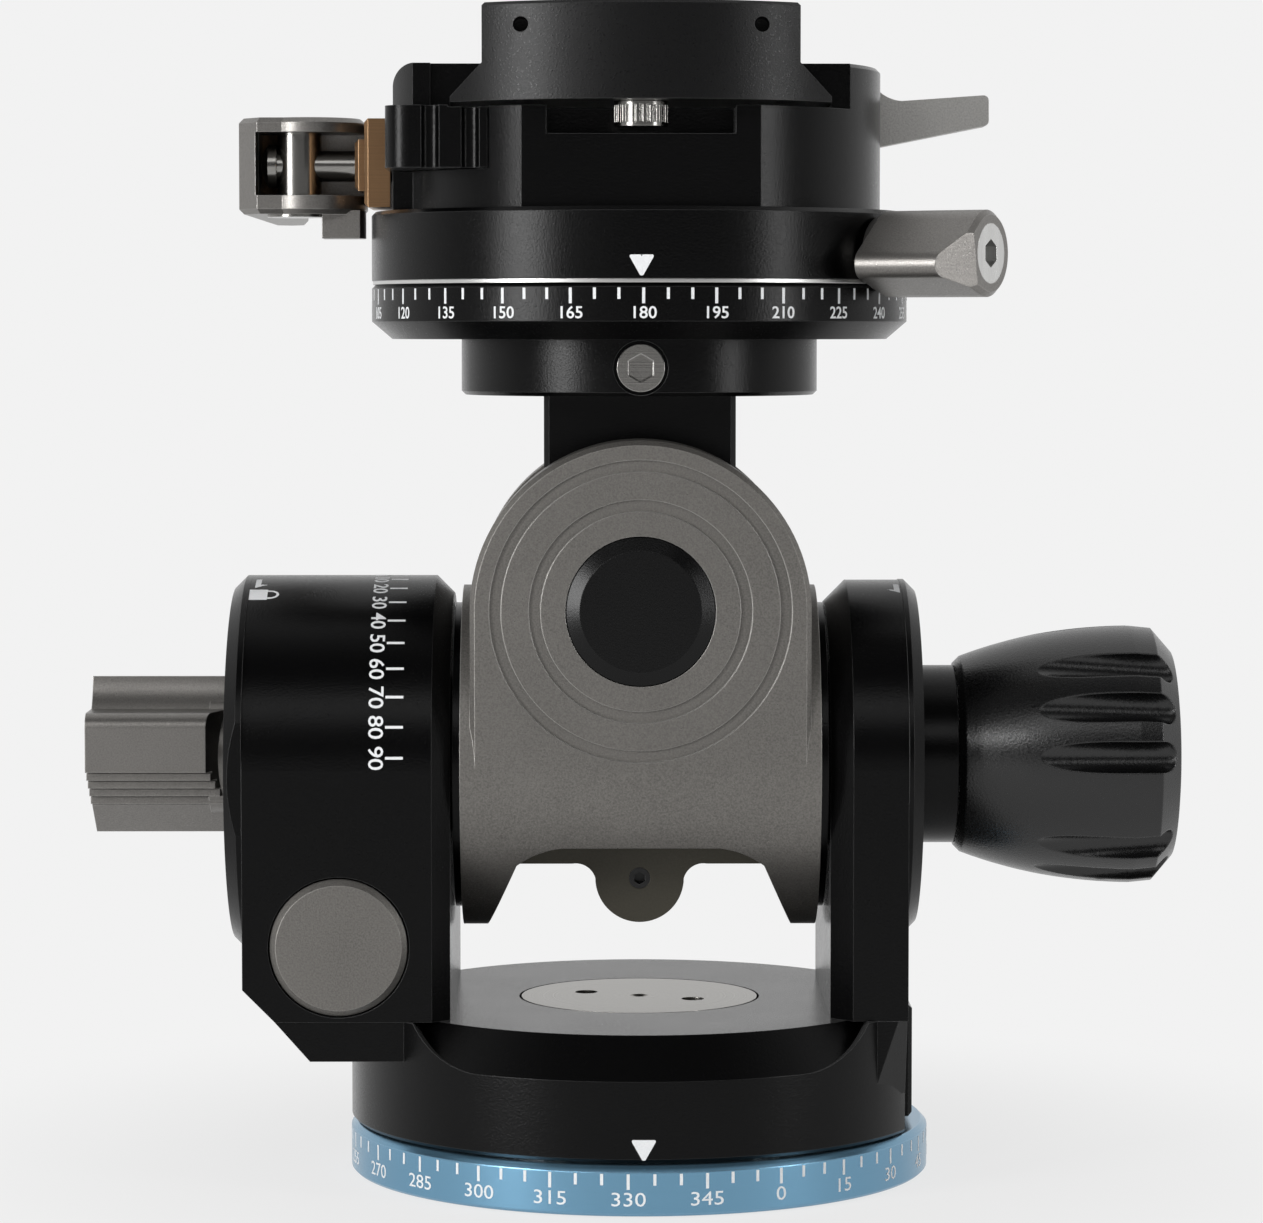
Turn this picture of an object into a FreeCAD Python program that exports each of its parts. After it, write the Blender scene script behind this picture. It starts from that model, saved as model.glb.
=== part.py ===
import FreeCAD, Part
import math
import os

from FreeCAD import Placement, Rotation, Vector

# A three-way geared camera head. The origin is the mouth of the tripod socket in the underside,
# +Z is up, +X points to the fluted roll knob and -Y to the front with the roll axis cap.
# All lengths are millimetres and all angles degrees.

# ------------------------------------------------------------------ fits and gaps
RUNNING_FIT = 0.05        # radial room of a shaft in its bush
SLIDE_FIT = 0.1           # room between flat faces that pass each other
SCREW_FIT = 0.1           # radial room of a screw in a plain hole
FREE_GAP = 0.3            # room between parts that turn past each other
RIM_GAP = 0.2             # visible joint around a cap set into a recess
TIP_GAP = 0.4             # room in front of a lock screw's tip
EDGE = 0.4                # small broken edge
NEAR = 0.001              # distance within which two points are the same

# ------------------------------------------------------------------ lower pan
RING_STEP = 0.05          # ring past the pan body
RING_HEIGHT = 5.0
RING_EDGE = 0.6
RING_FOOT_EDGE = 0.25
PAN_WASHER_THICKNESS = 0.3
PAN_WASHER_WIDTH = 14.0
PAN_WASHER_INSET = 4.7
PAN_HEIGHT = 12.3
PAN_FLAT_CUT = 3.05       # how deep the flat side lies in the round body
PAN_STEM_RADIUS = 8.0
PAN_FLANGE_RADIUS = 12.35
PAN_FLANGE_THICKNESS = 2.5
PAN_FLANGE_GAP = 0.25
SOCKET_RADIUS = 3.97      # 3/8-16 thread, minor bore
SOCKET_DEPTH = 11.0
SPANNER_RADIUS = 1.2
SPANNER_REACH = 6.1
SPANNER_ANGLE = -24.0
SPANNER_DEPTH = 1.5
DIMPLE_RADIUS = 1.0
DIMPLE_DEPTH = 0.6
DECK_INSET = 2.9          # flat deck inside the pan body's rim
SCOOP_DEPTH = 4.2
SCOOP_FLOOR_HALF = 16.5
SCOOP_MOUTH_HALF = 23.0
SCOOP_BULGE = 0.9
FOOT_HALF_DEPTH = 18.3
LEFT_FOOT_HEIGHT = 4.05
LEFT_FOOT_SLANT = 3.6
RIGHT_FOOT_HEIGHT = 8.1
FACET_WIDTH = 1.0
FACET_DEPTH = 1.3
FACET_LEAN = 2.2
SIDE_PLATE_THICKNESS = 1.3
SIDE_PLATE_HALF = 8.5
SIDE_PLATE_OFFSET = 3.5
SIDE_PLATE_HEIGHT = 11.7
SIDE_PLATE_LIFT = 0.3
SIDE_SCREW_SPREAD = 5.5
SIDE_SCREW_RADIUS = 1.0
SIDE_SCREW_HEAD = 1.7
SIDE_SCREW_LENGTH = 5.0

# ------------------------------------------------------------------ pan lock at the back
PAN_LOCK_RISE = 4.3
PAN_LOCK_RADIUS = 2.5
PAN_KNOB_RADIUS = 5.2
PAN_KNOB_NECK = 4.2
PAN_KNOB_NECK_LENGTH = 3.0
PAN_KNOB_LENGTH = 12.0
PAN_KNOB_FLUTES = 8
PAN_KNOB_FLUTE = 1.2

# ------------------------------------------------------------------ fork
TILT_AXIS_RISE = 25.5     # tilt axis above the deck
ARM_GAP = 0.2             # trunnion flange to arm
LEFT_ARM_WIDTH = 20.95
LEFT_ARM_RADIUS = 18.75
LEFT_ARM_EDGE = 1.8
LEFT_CORNER_RISE = 3.3
HOUSING_WALL = 4.7        # wall between the gear space and the block
COVER_THICKNESS = 1.85
COVER_OVERHANG = 0.85     # cover past the housing's round top
COVER_DROP = 0.85
COVER_EDGE = 1.25
RIGHT_ARM_WIDTH = 7.8
RIGHT_ARM_RADIUS = 18.25
RIGHT_ARM_EDGE = 2.2
BEZEL_THICKNESS = 1.6
BEZEL_OVERHANG = 0.25     # bezel past the right arm's round top
BEZEL_EDGE = 1.1
ARM_SCREW_RADIUS = 1.5
ARM_SCREW_HEAD = 2.75
ARM_SCREW_HEAD_HEIGHT = 3.0
ARM_SCREW_FLOOR = 5.6
ARM_SCREW_BITE = 5.6
ARM_SCREW_Y = 13.0
LEFT_SCREW_INSET = 2.3
RIGHT_SCREW_INSET = 4.5

# ------------------------------------------------------------------ gears
MODULE = 1.0
WORM_ADDENDUM = 0.9
WORM_DEDENDUM = 1.2
THREAD_WIDTH = 1.2        # at the pitch radius
GAP_WIDTH = 1.72          # tooth space at the pitch radius
FLANK_ANGLE = 20.0
TILT_TEETH = 25
TILT_WORM_RADIUS = 5.4
TILT_WORM_TURNS = 5
TILT_WHEEL_WIDTH = 5.0
ROLL_TEETH = 22
ROLL_WORM_RADIUS = 5.0
ROLL_WORM_TURNS = 6
ROLL_SECTOR_WIDTH = 6.0
ROLL_SECTOR_ANGLE = 62.0
WORM_SPACE_GAP = 0.3      # worm crest to the wall of its space
WHEEL_SPACE_GAP = 0.8

# ------------------------------------------------------------------ tilt worm
WORM_LINE_INSET = 6.5     # from the gear space's wall to the tilt worm's axis
SHAFT_RADIUS = 3.0
WORM_CAP_RADIUS = 6.95
WORM_CAP_SEAT = 2.25      # depth of its recess
WORM_CAP_PROUD = 0.45
WORM_CAP_EDGE = 0.6
WORM_BUSH_FRONT = 4.6
WORM_BUSH_BACK = 6.8
TILT_KNOB_GAP = 0.25
TILT_KNOB_NECK = 6.0
TILT_KNOB_NECK_LENGTH = 2.5
TILT_KNOB_RADIUS = 9.5
TILT_KNOB_LENGTH = 19.5
TILT_KNOB_TAPER = 1.6
TILT_KNOB_FLUTES = 12
TILT_KNOB_FLUTE = 1.5
KNOB_BORE_DEPTH = 11.0

# ------------------------------------------------------------------ tilting block
BLOCK_HALF_WIDTH = 18.3
BLOCK_DRUM_RADIUS = 17.75
BLOCK_PLATE_HALF = 17.25
BLOCK_EDGE = 0.5
FRONT_GROOVE_RADII = (10.1, 14.1)
FRONT_GROOVE_WIDTH = 1.2
FRONT_GROOVE_DEPTH = 0.35
SLOT_HALF = 8.6
SLOT_RADIUS = 15.4
SLOT_SWING = 31.0         # how far the neck may lean to each side
ROLL_CAP_RADIUS = 7.5
ROLL_CAP_PROUD = 0.65
ROLL_CAP_SEAT = 1.75
ROLL_CAP_EDGE = 1.35
ROLL_PIN_RADIUS = 4.5
ROLL_BUSH_WALL = 1.95
ROLL_BACK_WALL = 2.2
WINDOW_DEPTH = 9.55       # from the drum's underside up to the window's ceiling
WINDOW_FLAT_HALF = 8.0
WINDOW_CORNER_HALF = 12.6
WINDOW_CORNER_DROP = 1.9
WINDOW_CORNER_BULGE = 0.75
WINDOW_FLARE = 0.43       # widening per millimetre of depth
ROLL_BUSH_LENGTH = 4.3
ROLL_WORM_BUSH = 5.0
ROLL_WORM_HALF_SPACE = 11.0
TRUNNION_FLANGE_RADIUS = 15.9
TRUNNION_FLANGE = 0.8
TRUNNION_SPIGOT_RADIUS = 14.0
TRUNNION_SPIGOT = 3.0
LEFT_TRUNNION_RADIUS = 8.2
LEFT_TRUNNION_END_GAP = 1.9
RIGHT_TRUNNION_RADIUS = 9.29
RIGHT_TRUNNION_PROUD = 4.1
TRUNNION_BUSH_WALL = 1.5
ADJUST_PLATE_FRONT = -5.0
ADJUST_PLATE_THICKNESS = 2.0
ADJUST_PLATE_DROP = 2.8
ADJUST_TAB_RADIUS = 4.6
ADJUST_TAB_DROP = 1.5
ADJUST_TAB_FILLET = 2.4
ADJUST_SCREW_RADIUS = 1.1
ADJUST_SCREW_LENGTH = 4.0

# ------------------------------------------------------------------ roll knob
ROLL_KNOB_GAP = 0.1
ROLL_KNOB_START_RADIUS = 9.6
ROLL_KNOB_LIP = 0.65
ROLL_KNOB_MIDDLE = 9.4
ROLL_KNOB_MIDDLE_RADIUS = 12.68
ROLL_KNOB_CREST = 18.2
ROLL_KNOB_RADIUS = 13.5
ROLL_KNOB_SHOULDER = 20.5
ROLL_KNOB_SHOULDER_RADIUS = 13.27
ROLL_KNOB_BROW = 22.6
ROLL_KNOB_BROW_RADIUS = 10.85
ROLL_KNOB_DOME = 0.85
ROLL_FLUTE_RADIUS = 1.6
ROLL_FLUTE_START = 7.0
ROLL_FLUTE_START_REACH = 14.1
ROLL_FLUTE_END = 21.3
ROLL_FLUTE_END_REACH = 12.9
ROLL_FLUTE_STEPS = 16
ROLL_FLUTE_GROUP = 4      # one place in each group has no flute
ROLL_FLUTE_BARE = 1
ROLL_FLUTE_TURN = -3.5
SET_SCREW_RADIUS = 1.5
SET_SCREW_OFFSET = 5.0

# ------------------------------------------------------------------ lock wings
WING_GAP = 0.6
WING_LENGTH = 14.3
WING_HUB_LENGTH = 2.0
WING_HALF_HEIGHT = 8.3
WING_TIP_HALF = 1.4
WING_WAIST = 3.0
WING_SHOULDER = 5.0
WING_REACH = 9.5
WING_CORNER = 1.5
WING_GRIP_TOP = 0.3
WING_UNDERCUT = 1.9       # how far the inner end falls back at its corners
WING_TEETH = 5
WING_TOOTH_DEPTH = 0.45
WING_TOOTH_FACE = 0.8     # upright share of a tooth's height
WING_HUB_RADIUS = 6.2
LOCK_SCREW_RADIUS = 2.5
LOCK_HEAD_RADIUS = 4.0
LOCK_HEAD_LENGTH = 4.0
LOCK_HEAD_SINK = 1.0
LOCK_HEX_ACROSS = 4.0
LOCK_HEX_DEPTH = 2.4

# ------------------------------------------------------------------ rolling neck
NECK_HALF_WIDTH = 9.85
NECK_SIDE_GAP = 0.2
NECK_HUB_RADIUS = 7.5
NECK_RISE = 21.65         # collar above the roll axis
NECK_SPIGOT_RADIUS = 8.8
NECK_SPIGOT_HEIGHT = 3.25
COLLAR_RADIUS = 18.5
COLLAR_HEIGHT = 5.75
COLLAR_RECESS_RADIUS = 2.75
COLLAR_RECESS_DEPTH = 1.6
COLLAR_SCREW_HEAD = 2.4
COLLAR_SCREW_RADIUS = 1.5
COLLAR_SCREW_LENGTH = 8.0
COLLAR_HEX_ACROSS = 2.5
COLLAR_HEX_DEPTH = 1.2

# ------------------------------------------------------------------ upper pan
UPPER_RADIUS = 27.8
UPPER_RING_HEIGHT = 5.6
UPPER_RING_CHAMFER_RADIAL = 2.1
UPPER_RING_CHAMFER_HEIGHT = 1.8
UPPER_RING_TOP_EDGE = 0.4
UPPER_WASHER_THICKNESS = 0.4
UPPER_WASHER_WIDTH = 14.0
UPPER_WASHER_INSET = 0.1
UPPER_PAN_HEIGHT = 7.1
UPPER_STEM_RADIUS = 6.0
UPPER_FLANGE_RADIUS = 10.0
UPPER_FLANGE_THICKNESS = 2.5
UPPER_FLANGE_DROP = 1.1
UPPER_LOCK_ANGLE = -31.0  # direction of the lock screw from +X
UPPER_LOCK_RISE = 2.55
UPPER_LOCK_SCREW = 2.0
LOCK_LEVER_HUB = 4.35
LOCK_LEVER_APEX = 7.7
LOCK_LEVER_TIP = 1.5      # radius of the rounded end
LOCK_LEVER_DIP = 10.0     # how far the end hangs, in degrees
LOCK_LEVER_SLANT = 2.4    # how far the outer face falls back at that end
LOCK_LEVER_STEM = 1.2
LOCK_LEVER_LENGTH = 11.35
LOCK_LEVER_ROOT = 3.7
LOCK_LEVER_EDGE = 0.5
LOCK_CAP_RADIUS = 3.0
LOCK_CAP_HEIGHT = 1.6
LOCK_CAP_CONE = 1.4

# ------------------------------------------------------------------ clamp
CLAMP_INSET = 2.8         # clamp inside the turning stage's rim
CLAMP_HALF_DEPTH = 22.0
CLAMP_HEIGHT = 10.1
CLAMP_LEDGE_HEIGHT = 3.9
CLAMP_LEDGE_X = -15.2
END_RECESS_HALF = 9.4
END_RECESS_HEIGHT = 2.8
END_RECESS_Y = 15.5
JAW_HEIGHT = 4.6
JAW_LIP_HALF = 12.9
JAW_LIP_X = 21.2
DOVETAIL_GAP = 0.2        # room beside the plate's foot
CLAMP_SCREW_X = 7.0
CLAMP_SCREW_Y = 11.5
CLAMP_SCREW_RADIUS = 1.5
CLAMP_SCREW_HEAD = 2.75
CLAMP_SCREW_HEAD_HEIGHT = 3.0
CLAMP_SCREW_BITE = 5.0
NOSE_INSET = 2.6          # end of the base under the moving jaw, inside the stage's rim
NOSE_HALF_DEPTH = 9.5
SKIRT_INSET = 2.2         # jaw's flat end inside the stage's rim
SKIRT_HALF_DEPTH = 20.0
SKIRT_CORNER = 2.5
HOOK_INSET = 0.8          # hook's round sides inside the turning stage's rim
HOOK_STEP = 0.45          # hook behind the skirt's flat face
HOOK_CORNER = 2.2
SCALLOP_RADIUS = 0.9
SCALLOP_STEPS = (4.6, 8.6)  # grooves behind the jaw's flat end
GUIDE_PIN_RADIUS = 1.5
GUIDE_PIN_Y = 13.0
GUIDE_PIN_LENGTH = 10.0
GUIDE_PIN_HOLD = 6.0
CAM_PLATE_THICKNESS = 2.7
CAM_PLATE_HALF = 6.0
CAM_PLATE_HEIGHT = 9.1
CAM_PLATE_LIFT = 0.4
CAM_PAD_THICKNESS = 1.1
CAM_PAD_HALF = 3.5
CAM_PAD_HEIGHT = 5.3
ROD_RADIUS = 1.6
ROD_RISE = 4.8
ROD_END_X = 12.0
ROD_HEAD_RADIUS = 2.25
ROD_HEAD_LENGTH = 0.9
ROD_HEAD_DOME = 0.8

# ------------------------------------------------------------------ cam lever
LEVER_PIN_REACH = 9.7     # pin past the jaw's flat end
LEVER_PIN_BARREL = 2.3
LEVER_PIN_HEAD = 3.35
LEVER_PIN_HEAD_HEIGHT = 0.8
LEVER_PIN_PROUD = 0.3     # lower head below the lever
CAM_RADIUS = 6.7
CAM_RISE = 0.02           # millimetres of radius per degree
CAM_LOW_ANGLE = -110.0
CAM_STEPS = 12
LEVER_BOTTOM_DROP = 0.2
LEVER_HEIGHT = 9.9
LEVER_TOP_PLATE = 1.5
LEVER_BOTTOM_PLATE = 1.9
LEVER_LEFT = 6.2
LEVER_WALL = 1.9
LEVER_EDGE = 0.5
LEVER_POCKET = 4.25
HANDLE_LENGTH = 50.0
HANDLE_TIP_WIDTH = 4.0
HANDLE_BEND_Y = 12.0
HANDLE_BEND_WIDTH = 6.4
TAB_LEFT = 2.45
TAB_RIGHT = 6.9
TAB_DROP = 2.5
TAB_HALF_DEPTH = 2.6

# ------------------------------------------------------------------ release lever
RELEASE_Y = 7.0
RELEASE_FOOT_GAP = 0.85   # room between the plate's foot and the lever's hub
RELEASE_HUB_RADIUS = 2.0
RELEASE_PIN_RADIUS = 1.1
RELEASE_REACH = 11.8      # tip past the clamp's round side
RELEASE_ROOT_DROP = 3.75
RELEASE_ROOT_HEIGHT = 6.75
RELEASE_TIP_RISE = 2.85
RELEASE_TIP_HEIGHT = 3.25
RELEASE_TIP_CORNER = 0.6
RELEASE_NECK_STEP = 2.6   # neck past the clamp's round side
RELEASE_NECK_DROP = 0.6   # neck below the tip's top
RELEASE_THICKNESS = 3.6
RELEASE_SWING = 25.0
RELEASE_SPARE = 1.0       # degrees of room past the swing
RELEASE_PIN_BELOW = 2.0

# ------------------------------------------------------------------ camera plate
PLATE_GAP = 0.4
PLATE_HALF_WIDTH = 15.8
PLATE_FOOT_HALF = 19.05
PLATE_FOOT_HEIGHT = 0.55
PLATE_HEIGHT = 9.7
PLATE_END_INSET = 0.8     # plate's round ends inside the turning stage's rim
PLATE_EDGE = 0.3
PLATE_HOLE_RADIUS = 0.75
PLATE_HOLE_X = 11.9
PLATE_HOLE_DROP = 2.3
PLATE_HOLE_DEPTH = 3.0
PAD_INNER = 7.5
PAD_OUTER = 13.6
PAD_HALF_LENGTH = 18.0
PAD_THICKNESS = 0.8
PAD_PROUD = 0.2
STOP_Y = 20.5
STOP_HEAD_RADIUS = 2.7
STOP_HEAD_HEIGHT = 2.5
STOP_SHANK_RADIUS = 1.5
STOP_SHANK_LENGTH = 4.0
STOP_KNURLS = 24
STOP_KNURL_DEPTH = 0.18
CAMERA_THREAD_RADIUS = 3.1
CAMERA_HEAD_RADIUS = 6.5
CAMERA_HEAD_HEIGHT = 2.0
CAMERA_HEAD_LIFT = 0.1
CAMERA_TRAVEL = 4.6
CAMERA_SLOT_WIDTH = 1.2
CAMERA_SLOT_DEPTH = 0.9
CAMERA_TIP_DROP = 0.8

# ------------------------------------------------------------------ levels and places
PAN_FLOOR = RING_HEIGHT + PAN_WASHER_THICKNESS
DECK = PAN_FLOOR + PAN_HEIGHT
TILT_Z = DECK + TILT_AXIS_RISE
TILT_WHEEL_RADIUS = MODULE * TILT_TEETH / 2
ROLL_WHEEL_RADIUS = MODULE * ROLL_TEETH / 2
ROLL_Z = TILT_Z + ROLL_WHEEL_RADIUS + ROLL_WORM_RADIUS
COLLAR_Z = ROLL_Z + NECK_RISE
UPPER_RING_Z = COLLAR_Z + COLLAR_HEIGHT
UPPER_WASHER_Z = UPPER_RING_Z + UPPER_RING_HEIGHT
UPPER_PAN_Z = UPPER_WASHER_Z + UPPER_WASHER_THICKNESS
CLAMP_Z = UPPER_PAN_Z + UPPER_PAN_HEIGHT
CLAMP_TOP = CLAMP_Z + CLAMP_HEIGHT
LEDGE_Z = CLAMP_Z + CLAMP_LEDGE_HEIGHT
JAW_TOP = CLAMP_TOP + JAW_HEIGHT
PLATE_Z = CLAMP_TOP + PLATE_GAP
PLATE_TOP = PLATE_Z + PLATE_HEIGHT
ROD_Z = CLAMP_Z + ROD_RISE

TRUNNION_X = BLOCK_HALF_WIDTH + TRUNNION_FLANGE
ARM_X = TRUNNION_X + ARM_GAP
LEFT_ARM_X = -ARM_X - LEFT_ARM_WIDTH
COVER_X = LEFT_ARM_X - COVER_THICKNESS
RIGHT_ARM_X = ARM_X + RIGHT_ARM_WIDTH
BEZEL_X = RIGHT_ARM_X + BEZEL_THICKNESS
COVER_RADIUS = LEFT_ARM_RADIUS + COVER_OVERHANG
BEZEL_RADIUS = RIGHT_ARM_RADIUS + BEZEL_OVERHANG
GEAR_WALL_X = -ARM_X - HOUSING_WALL
WORM_LINE_X = GEAR_WALL_X - WORM_LINE_INSET
PAN_FLAT_X = RIGHT_ARM_X
PAN_RADIUS = PAN_FLAT_X + PAN_FLAT_CUT
RING_RADIUS = PAN_RADIUS + RING_STEP
DECK_RADIUS = PAN_RADIUS - DECK_INSET
BEYOND = 2 * RING_RADIUS  # reach of cutting tools past the part they cut
CLAMP_RADIUS = UPPER_RADIUS - CLAMP_INSET
RELEASE_PIVOT_X = PLATE_FOOT_HALF + RELEASE_FOOT_GAP + RELEASE_HUB_RADIUS
RELEASE_NECK_X = CLAMP_RADIUS + RELEASE_NECK_STEP
RELEASE_TIP_X = CLAMP_RADIUS + RELEASE_REACH
HOOK_RADIUS = UPPER_RADIUS - HOOK_INSET
NOSE_X = NOSE_INSET - UPPER_RADIUS
SKIRT_FLAT_X = SKIRT_INSET - UPPER_RADIUS
HOOK_X = SKIRT_FLAT_X + HOOK_STEP
LEVER_PIN_X = SKIRT_FLAT_X - LEVER_PIN_REACH
PLATE_END_RADIUS = UPPER_RADIUS - PLATE_END_INSET
ROLL_KNOB_X = BEZEL_X + RIGHT_TRUNNION_PROUD + ROLL_KNOB_GAP
WING_X = COVER_X - WING_GAP
SPIGOT_X = BLOCK_HALF_WIDTH - TRUNNION_SPIGOT

LEAD = MODULE * math.pi
TILT_WORM_Z = TILT_Z - TILT_WHEEL_RADIUS - TILT_WORM_RADIUS
TILT_WORM_SPACE = TILT_WORM_RADIUS + WORM_ADDENDUM + WORM_SPACE_GAP
ROLL_WORM_SPACE = ROLL_WORM_RADIUS + WORM_ADDENDUM + WORM_SPACE_GAP
TILT_WHEEL_SPACE = TILT_WHEEL_RADIUS + WORM_ADDENDUM + WHEEL_SPACE_GAP
ROLL_BUSH_RADIUS = ROLL_PIN_RADIUS + RUNNING_FIT + ROLL_BUSH_WALL
WINDOW_CEILING = TILT_Z - BLOCK_DRUM_RADIUS + WINDOW_DEPTH
PAN_LOCK_Z = PAN_FLOOR + PAN_LOCK_RISE
ROLL_CAP_FLOOR = -BLOCK_DRUM_RADIUS + ROLL_CAP_SEAT
ROLL_BACK_FLOOR = BLOCK_DRUM_RADIUS - ROLL_BACK_WALL

AXES = {"x": Vector(1, 0, 0), "y": Vector(0, 1, 0), "z": Vector(0, 0, 1)}
UP = AXES["z"]


# ================================================================== shape helpers
def spot(axis, along, u, v):
    """The point at 'along' on an axis; u and v are its other two coordinates in XYZ order."""
    places = {"x": (along, u, v), "y": (u, along, v), "z": (u, v, along)}
    return Vector(*places[axis])


def rod(axis, radius, start, end, u=0.0, v=0.0):
    """A round bar along one axis."""
    return Part.makeCylinder(radius, end - start, spot(axis, start, u, v), AXES[axis])


def tube(axis, outer, inner, start, end, u=0.0, v=0.0):
    """A round bar with a hole along it."""
    return rod(axis, outer, start, end, u, v).cut(rod(axis, inner, start, end, u, v))


def slab(x_low, x_high, y_low, y_high, z_low, z_high):
    """A box between two corners."""
    size = (x_high - x_low, y_high - y_low, z_high - z_low)
    return Part.makeBox(*size, Vector(x_low, y_low, z_low))


def drawn_face(axis, along, steps):
    """A flat face across an axis. A step is a corner, or the middle and end of an arc."""
    edges = []
    here = spot(axis, along, *steps[0])
    for step in steps[1:] + steps[:1]:
        if isinstance(step[0], tuple):
            middle = spot(axis, along, *step[0])
            end = spot(axis, along, *step[1])
            edges.append(Part.Arc(here, middle, end).toShape())
        else:
            end = spot(axis, along, *step)
            if end.distanceToPoint(here) > NEAR:
                edges.append(Part.LineSegment(here, end).toShape())
        here = end
    return Part.Face(Part.Wire(edges))


def prism(axis, start, end, steps):
    """A drawn outline pulled along an axis."""
    return drawn_face(axis, start, steps).extrude(AXES[axis] * (end - start))


def turned(axis, steps, u=0.0, v=0.0):
    """A lathe-turned solid. Steps are (along, radius) corners or arcs, as in drawn_face."""
    flipped = [tuple(reversed(step)) if not isinstance(step[0], tuple)
               else tuple(tuple(reversed(corner)) for corner in step) for step in steps]
    solid = drawn_face("y", 0.0, flipped).revolve(Vector(0, 0, 0), UP, 360)
    return framed(solid, cross_of(axis), AXES[axis], spot(axis, 0.0, u, v))


def dome(rim_along, rim_radius, height):
    """The arc of a shallow dome from its rim to the axis, for a turned outline."""
    ball = (rim_radius ** 2 + height ** 2) / (2 * abs(height))
    middle = rim_radius / 2
    sink = ball - math.sqrt(ball ** 2 - middle ** 2)
    way = 1 if height > 0 else -1
    return ((rim_along + height - way * sink, middle), (rim_along + height, 0.0))


def cross_of(axis):
    """A direction across an axis, to set a turned solid by."""
    return {"x": AXES["z"], "y": AXES["z"], "z": AXES["x"]}[axis]


def framed(shape, across, along, place):
    """A shape made about Z, set so that its X runs 'across' and its Z runs 'along'."""
    moved = shape.copy()
    turn = Rotation(across, along.cross(across), along, "ZXY")
    moved.Placement = Placement(place, turn).multiply(shape.Placement)
    return moved


def joined(first, *others):
    """One solid from several that touch or overlap."""
    return first.fuse(list(others)).removeSplitter()


def less(shape, *tools):
    """A shape with tools taken away."""
    return shape.cut(list(tools))


def face_rim(shape, axis, place, above=None):
    """The edges of a shape that lie in one plane across an axis, and above a level if given."""
    low, high = {"x": ("XMin", "XMax"), "y": ("YMin", "YMax"), "z": ("ZMin", "ZMax")}[axis]
    rim = []
    for edge in shape.Edges:
        box = edge.BoundBox
        flat = abs(getattr(box, low) - place) < NEAR and abs(getattr(box, high) - place) < NEAR
        if flat and (above is None or box.ZMax > above + NEAR):
            rim.append(edge)
    return rim


def bevelled(shape, size, axis, place, above=None):
    """A shape with the rim of one flat face chamfered."""
    return shape.makeChamfer(size, face_rim(shape, axis, place, above))


def hexagon(axis, across, start, end, u=0.0, v=0.0):
    """A six-sided bar, 'across' its flats, for sockets."""
    corner = across / math.sqrt(3)
    steps = []
    for step in range(6):
        angle = math.radians(60 * step + 30)
        steps.append((u + corner * math.cos(angle), v + corner * math.sin(angle)))
    return prism(axis, start, end, steps)


def copies_around(shape, count, centre, axis):
    """A shape repeated evenly about an axis."""
    found = []
    for index in range(count):
        turned_copy = shape.copy()
        turned_copy.rotate(centre, axis, 360.0 * index / count)
        found.append(turned_copy)
    return found


def half_space(through, outward):
    """A large block that fills the side of a plane that 'outward' points to."""
    block = slab(-BEYOND, BEYOND, -BEYOND, BEYOND, 0.0, BEYOND)
    side = UP.cross(outward)
    return framed(block, side.normalize(), outward.normalize(), through)


def socket_screw(axis, shank, head, head_height, tip, seat, across, depth, u=0.0, v=0.0):
    """A socket head screw; the head lies beyond 'seat', on the side away from 'tip'."""
    way = 1 if seat > tip else -1
    top = seat + way * head_height
    body = rod(axis, shank, min(tip, seat), max(tip, seat), u, v)
    cap = rod(axis, head, min(seat, top), max(seat, top), u, v)
    hollow = hexagon(axis, across, min(top - way * depth, top), max(top - way * depth, top), u, v)
    return less(joined(body, cap), hollow)


# ================================================================== gears
def worm_thread(pitch_radius, turns):
    """A right-hand worm about Z, its crest at +X on the level z = 0."""
    root = pitch_radius - WORM_DEDENDUM
    tip = pitch_radius + WORM_ADDENDUM
    slope = math.tan(math.radians(FLANK_ANGLE))
    wide = THREAD_WIDTH / 2 + (WORM_DEDENDUM + EDGE) * slope
    narrow = THREAD_WIDTH / 2 - WORM_ADDENDUM * slope
    start = -LEAD * turns / 2 - LEAD * (turns % 2) / 2
    length = -2 * start
    steps = [(root - EDGE, start - wide), (tip, start - narrow), (tip, start + narrow),
             (root - EDGE, start + wide)]
    helix = Part.Wire(Part.makeHelix(LEAD, length, pitch_radius).Edges)
    helix.translate(Vector(0, 0, start))
    profile = drawn_face("y", 0.0, steps).OuterWire
    thread = helix.makePipeShell([profile], True, True)
    core = rod("z", root, start, -start)
    window = rod("z", tip + EDGE, -LEAD * turns / 2, LEAD * turns / 2)
    return core.fuse(thread).common(window)


def gear_wheel(teeth, width, worm_radius, bore):
    """A worm wheel about Z with a tooth space at +X."""
    pitch_radius = MODULE * teeth / 2
    slope = math.tan(math.radians(FLANK_ANGLE))
    root = pitch_radius - WORM_DEDENDUM
    past = pitch_radius + WORM_ADDENDUM + EDGE
    low = GAP_WIDTH / 2 - WORM_DEDENDUM * slope
    high = GAP_WIDTH / 2 + (past - pitch_radius) * slope
    steps = [(root, -low), (past, -high), (past, high), (root, low)]
    gap = prism("z", -width, width, steps)
    lead_angle = math.degrees(math.atan(LEAD / (2 * math.pi * worm_radius)))
    gap.rotate(Vector(0, 0, 0), AXES["x"], -lead_angle)
    blank = tube("z", pitch_radius + WORM_ADDENDUM, bore, -width / 2, width / 2)
    return blank.cut(copies_around(gap, teeth, Vector(0, 0, 0), UP))


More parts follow.
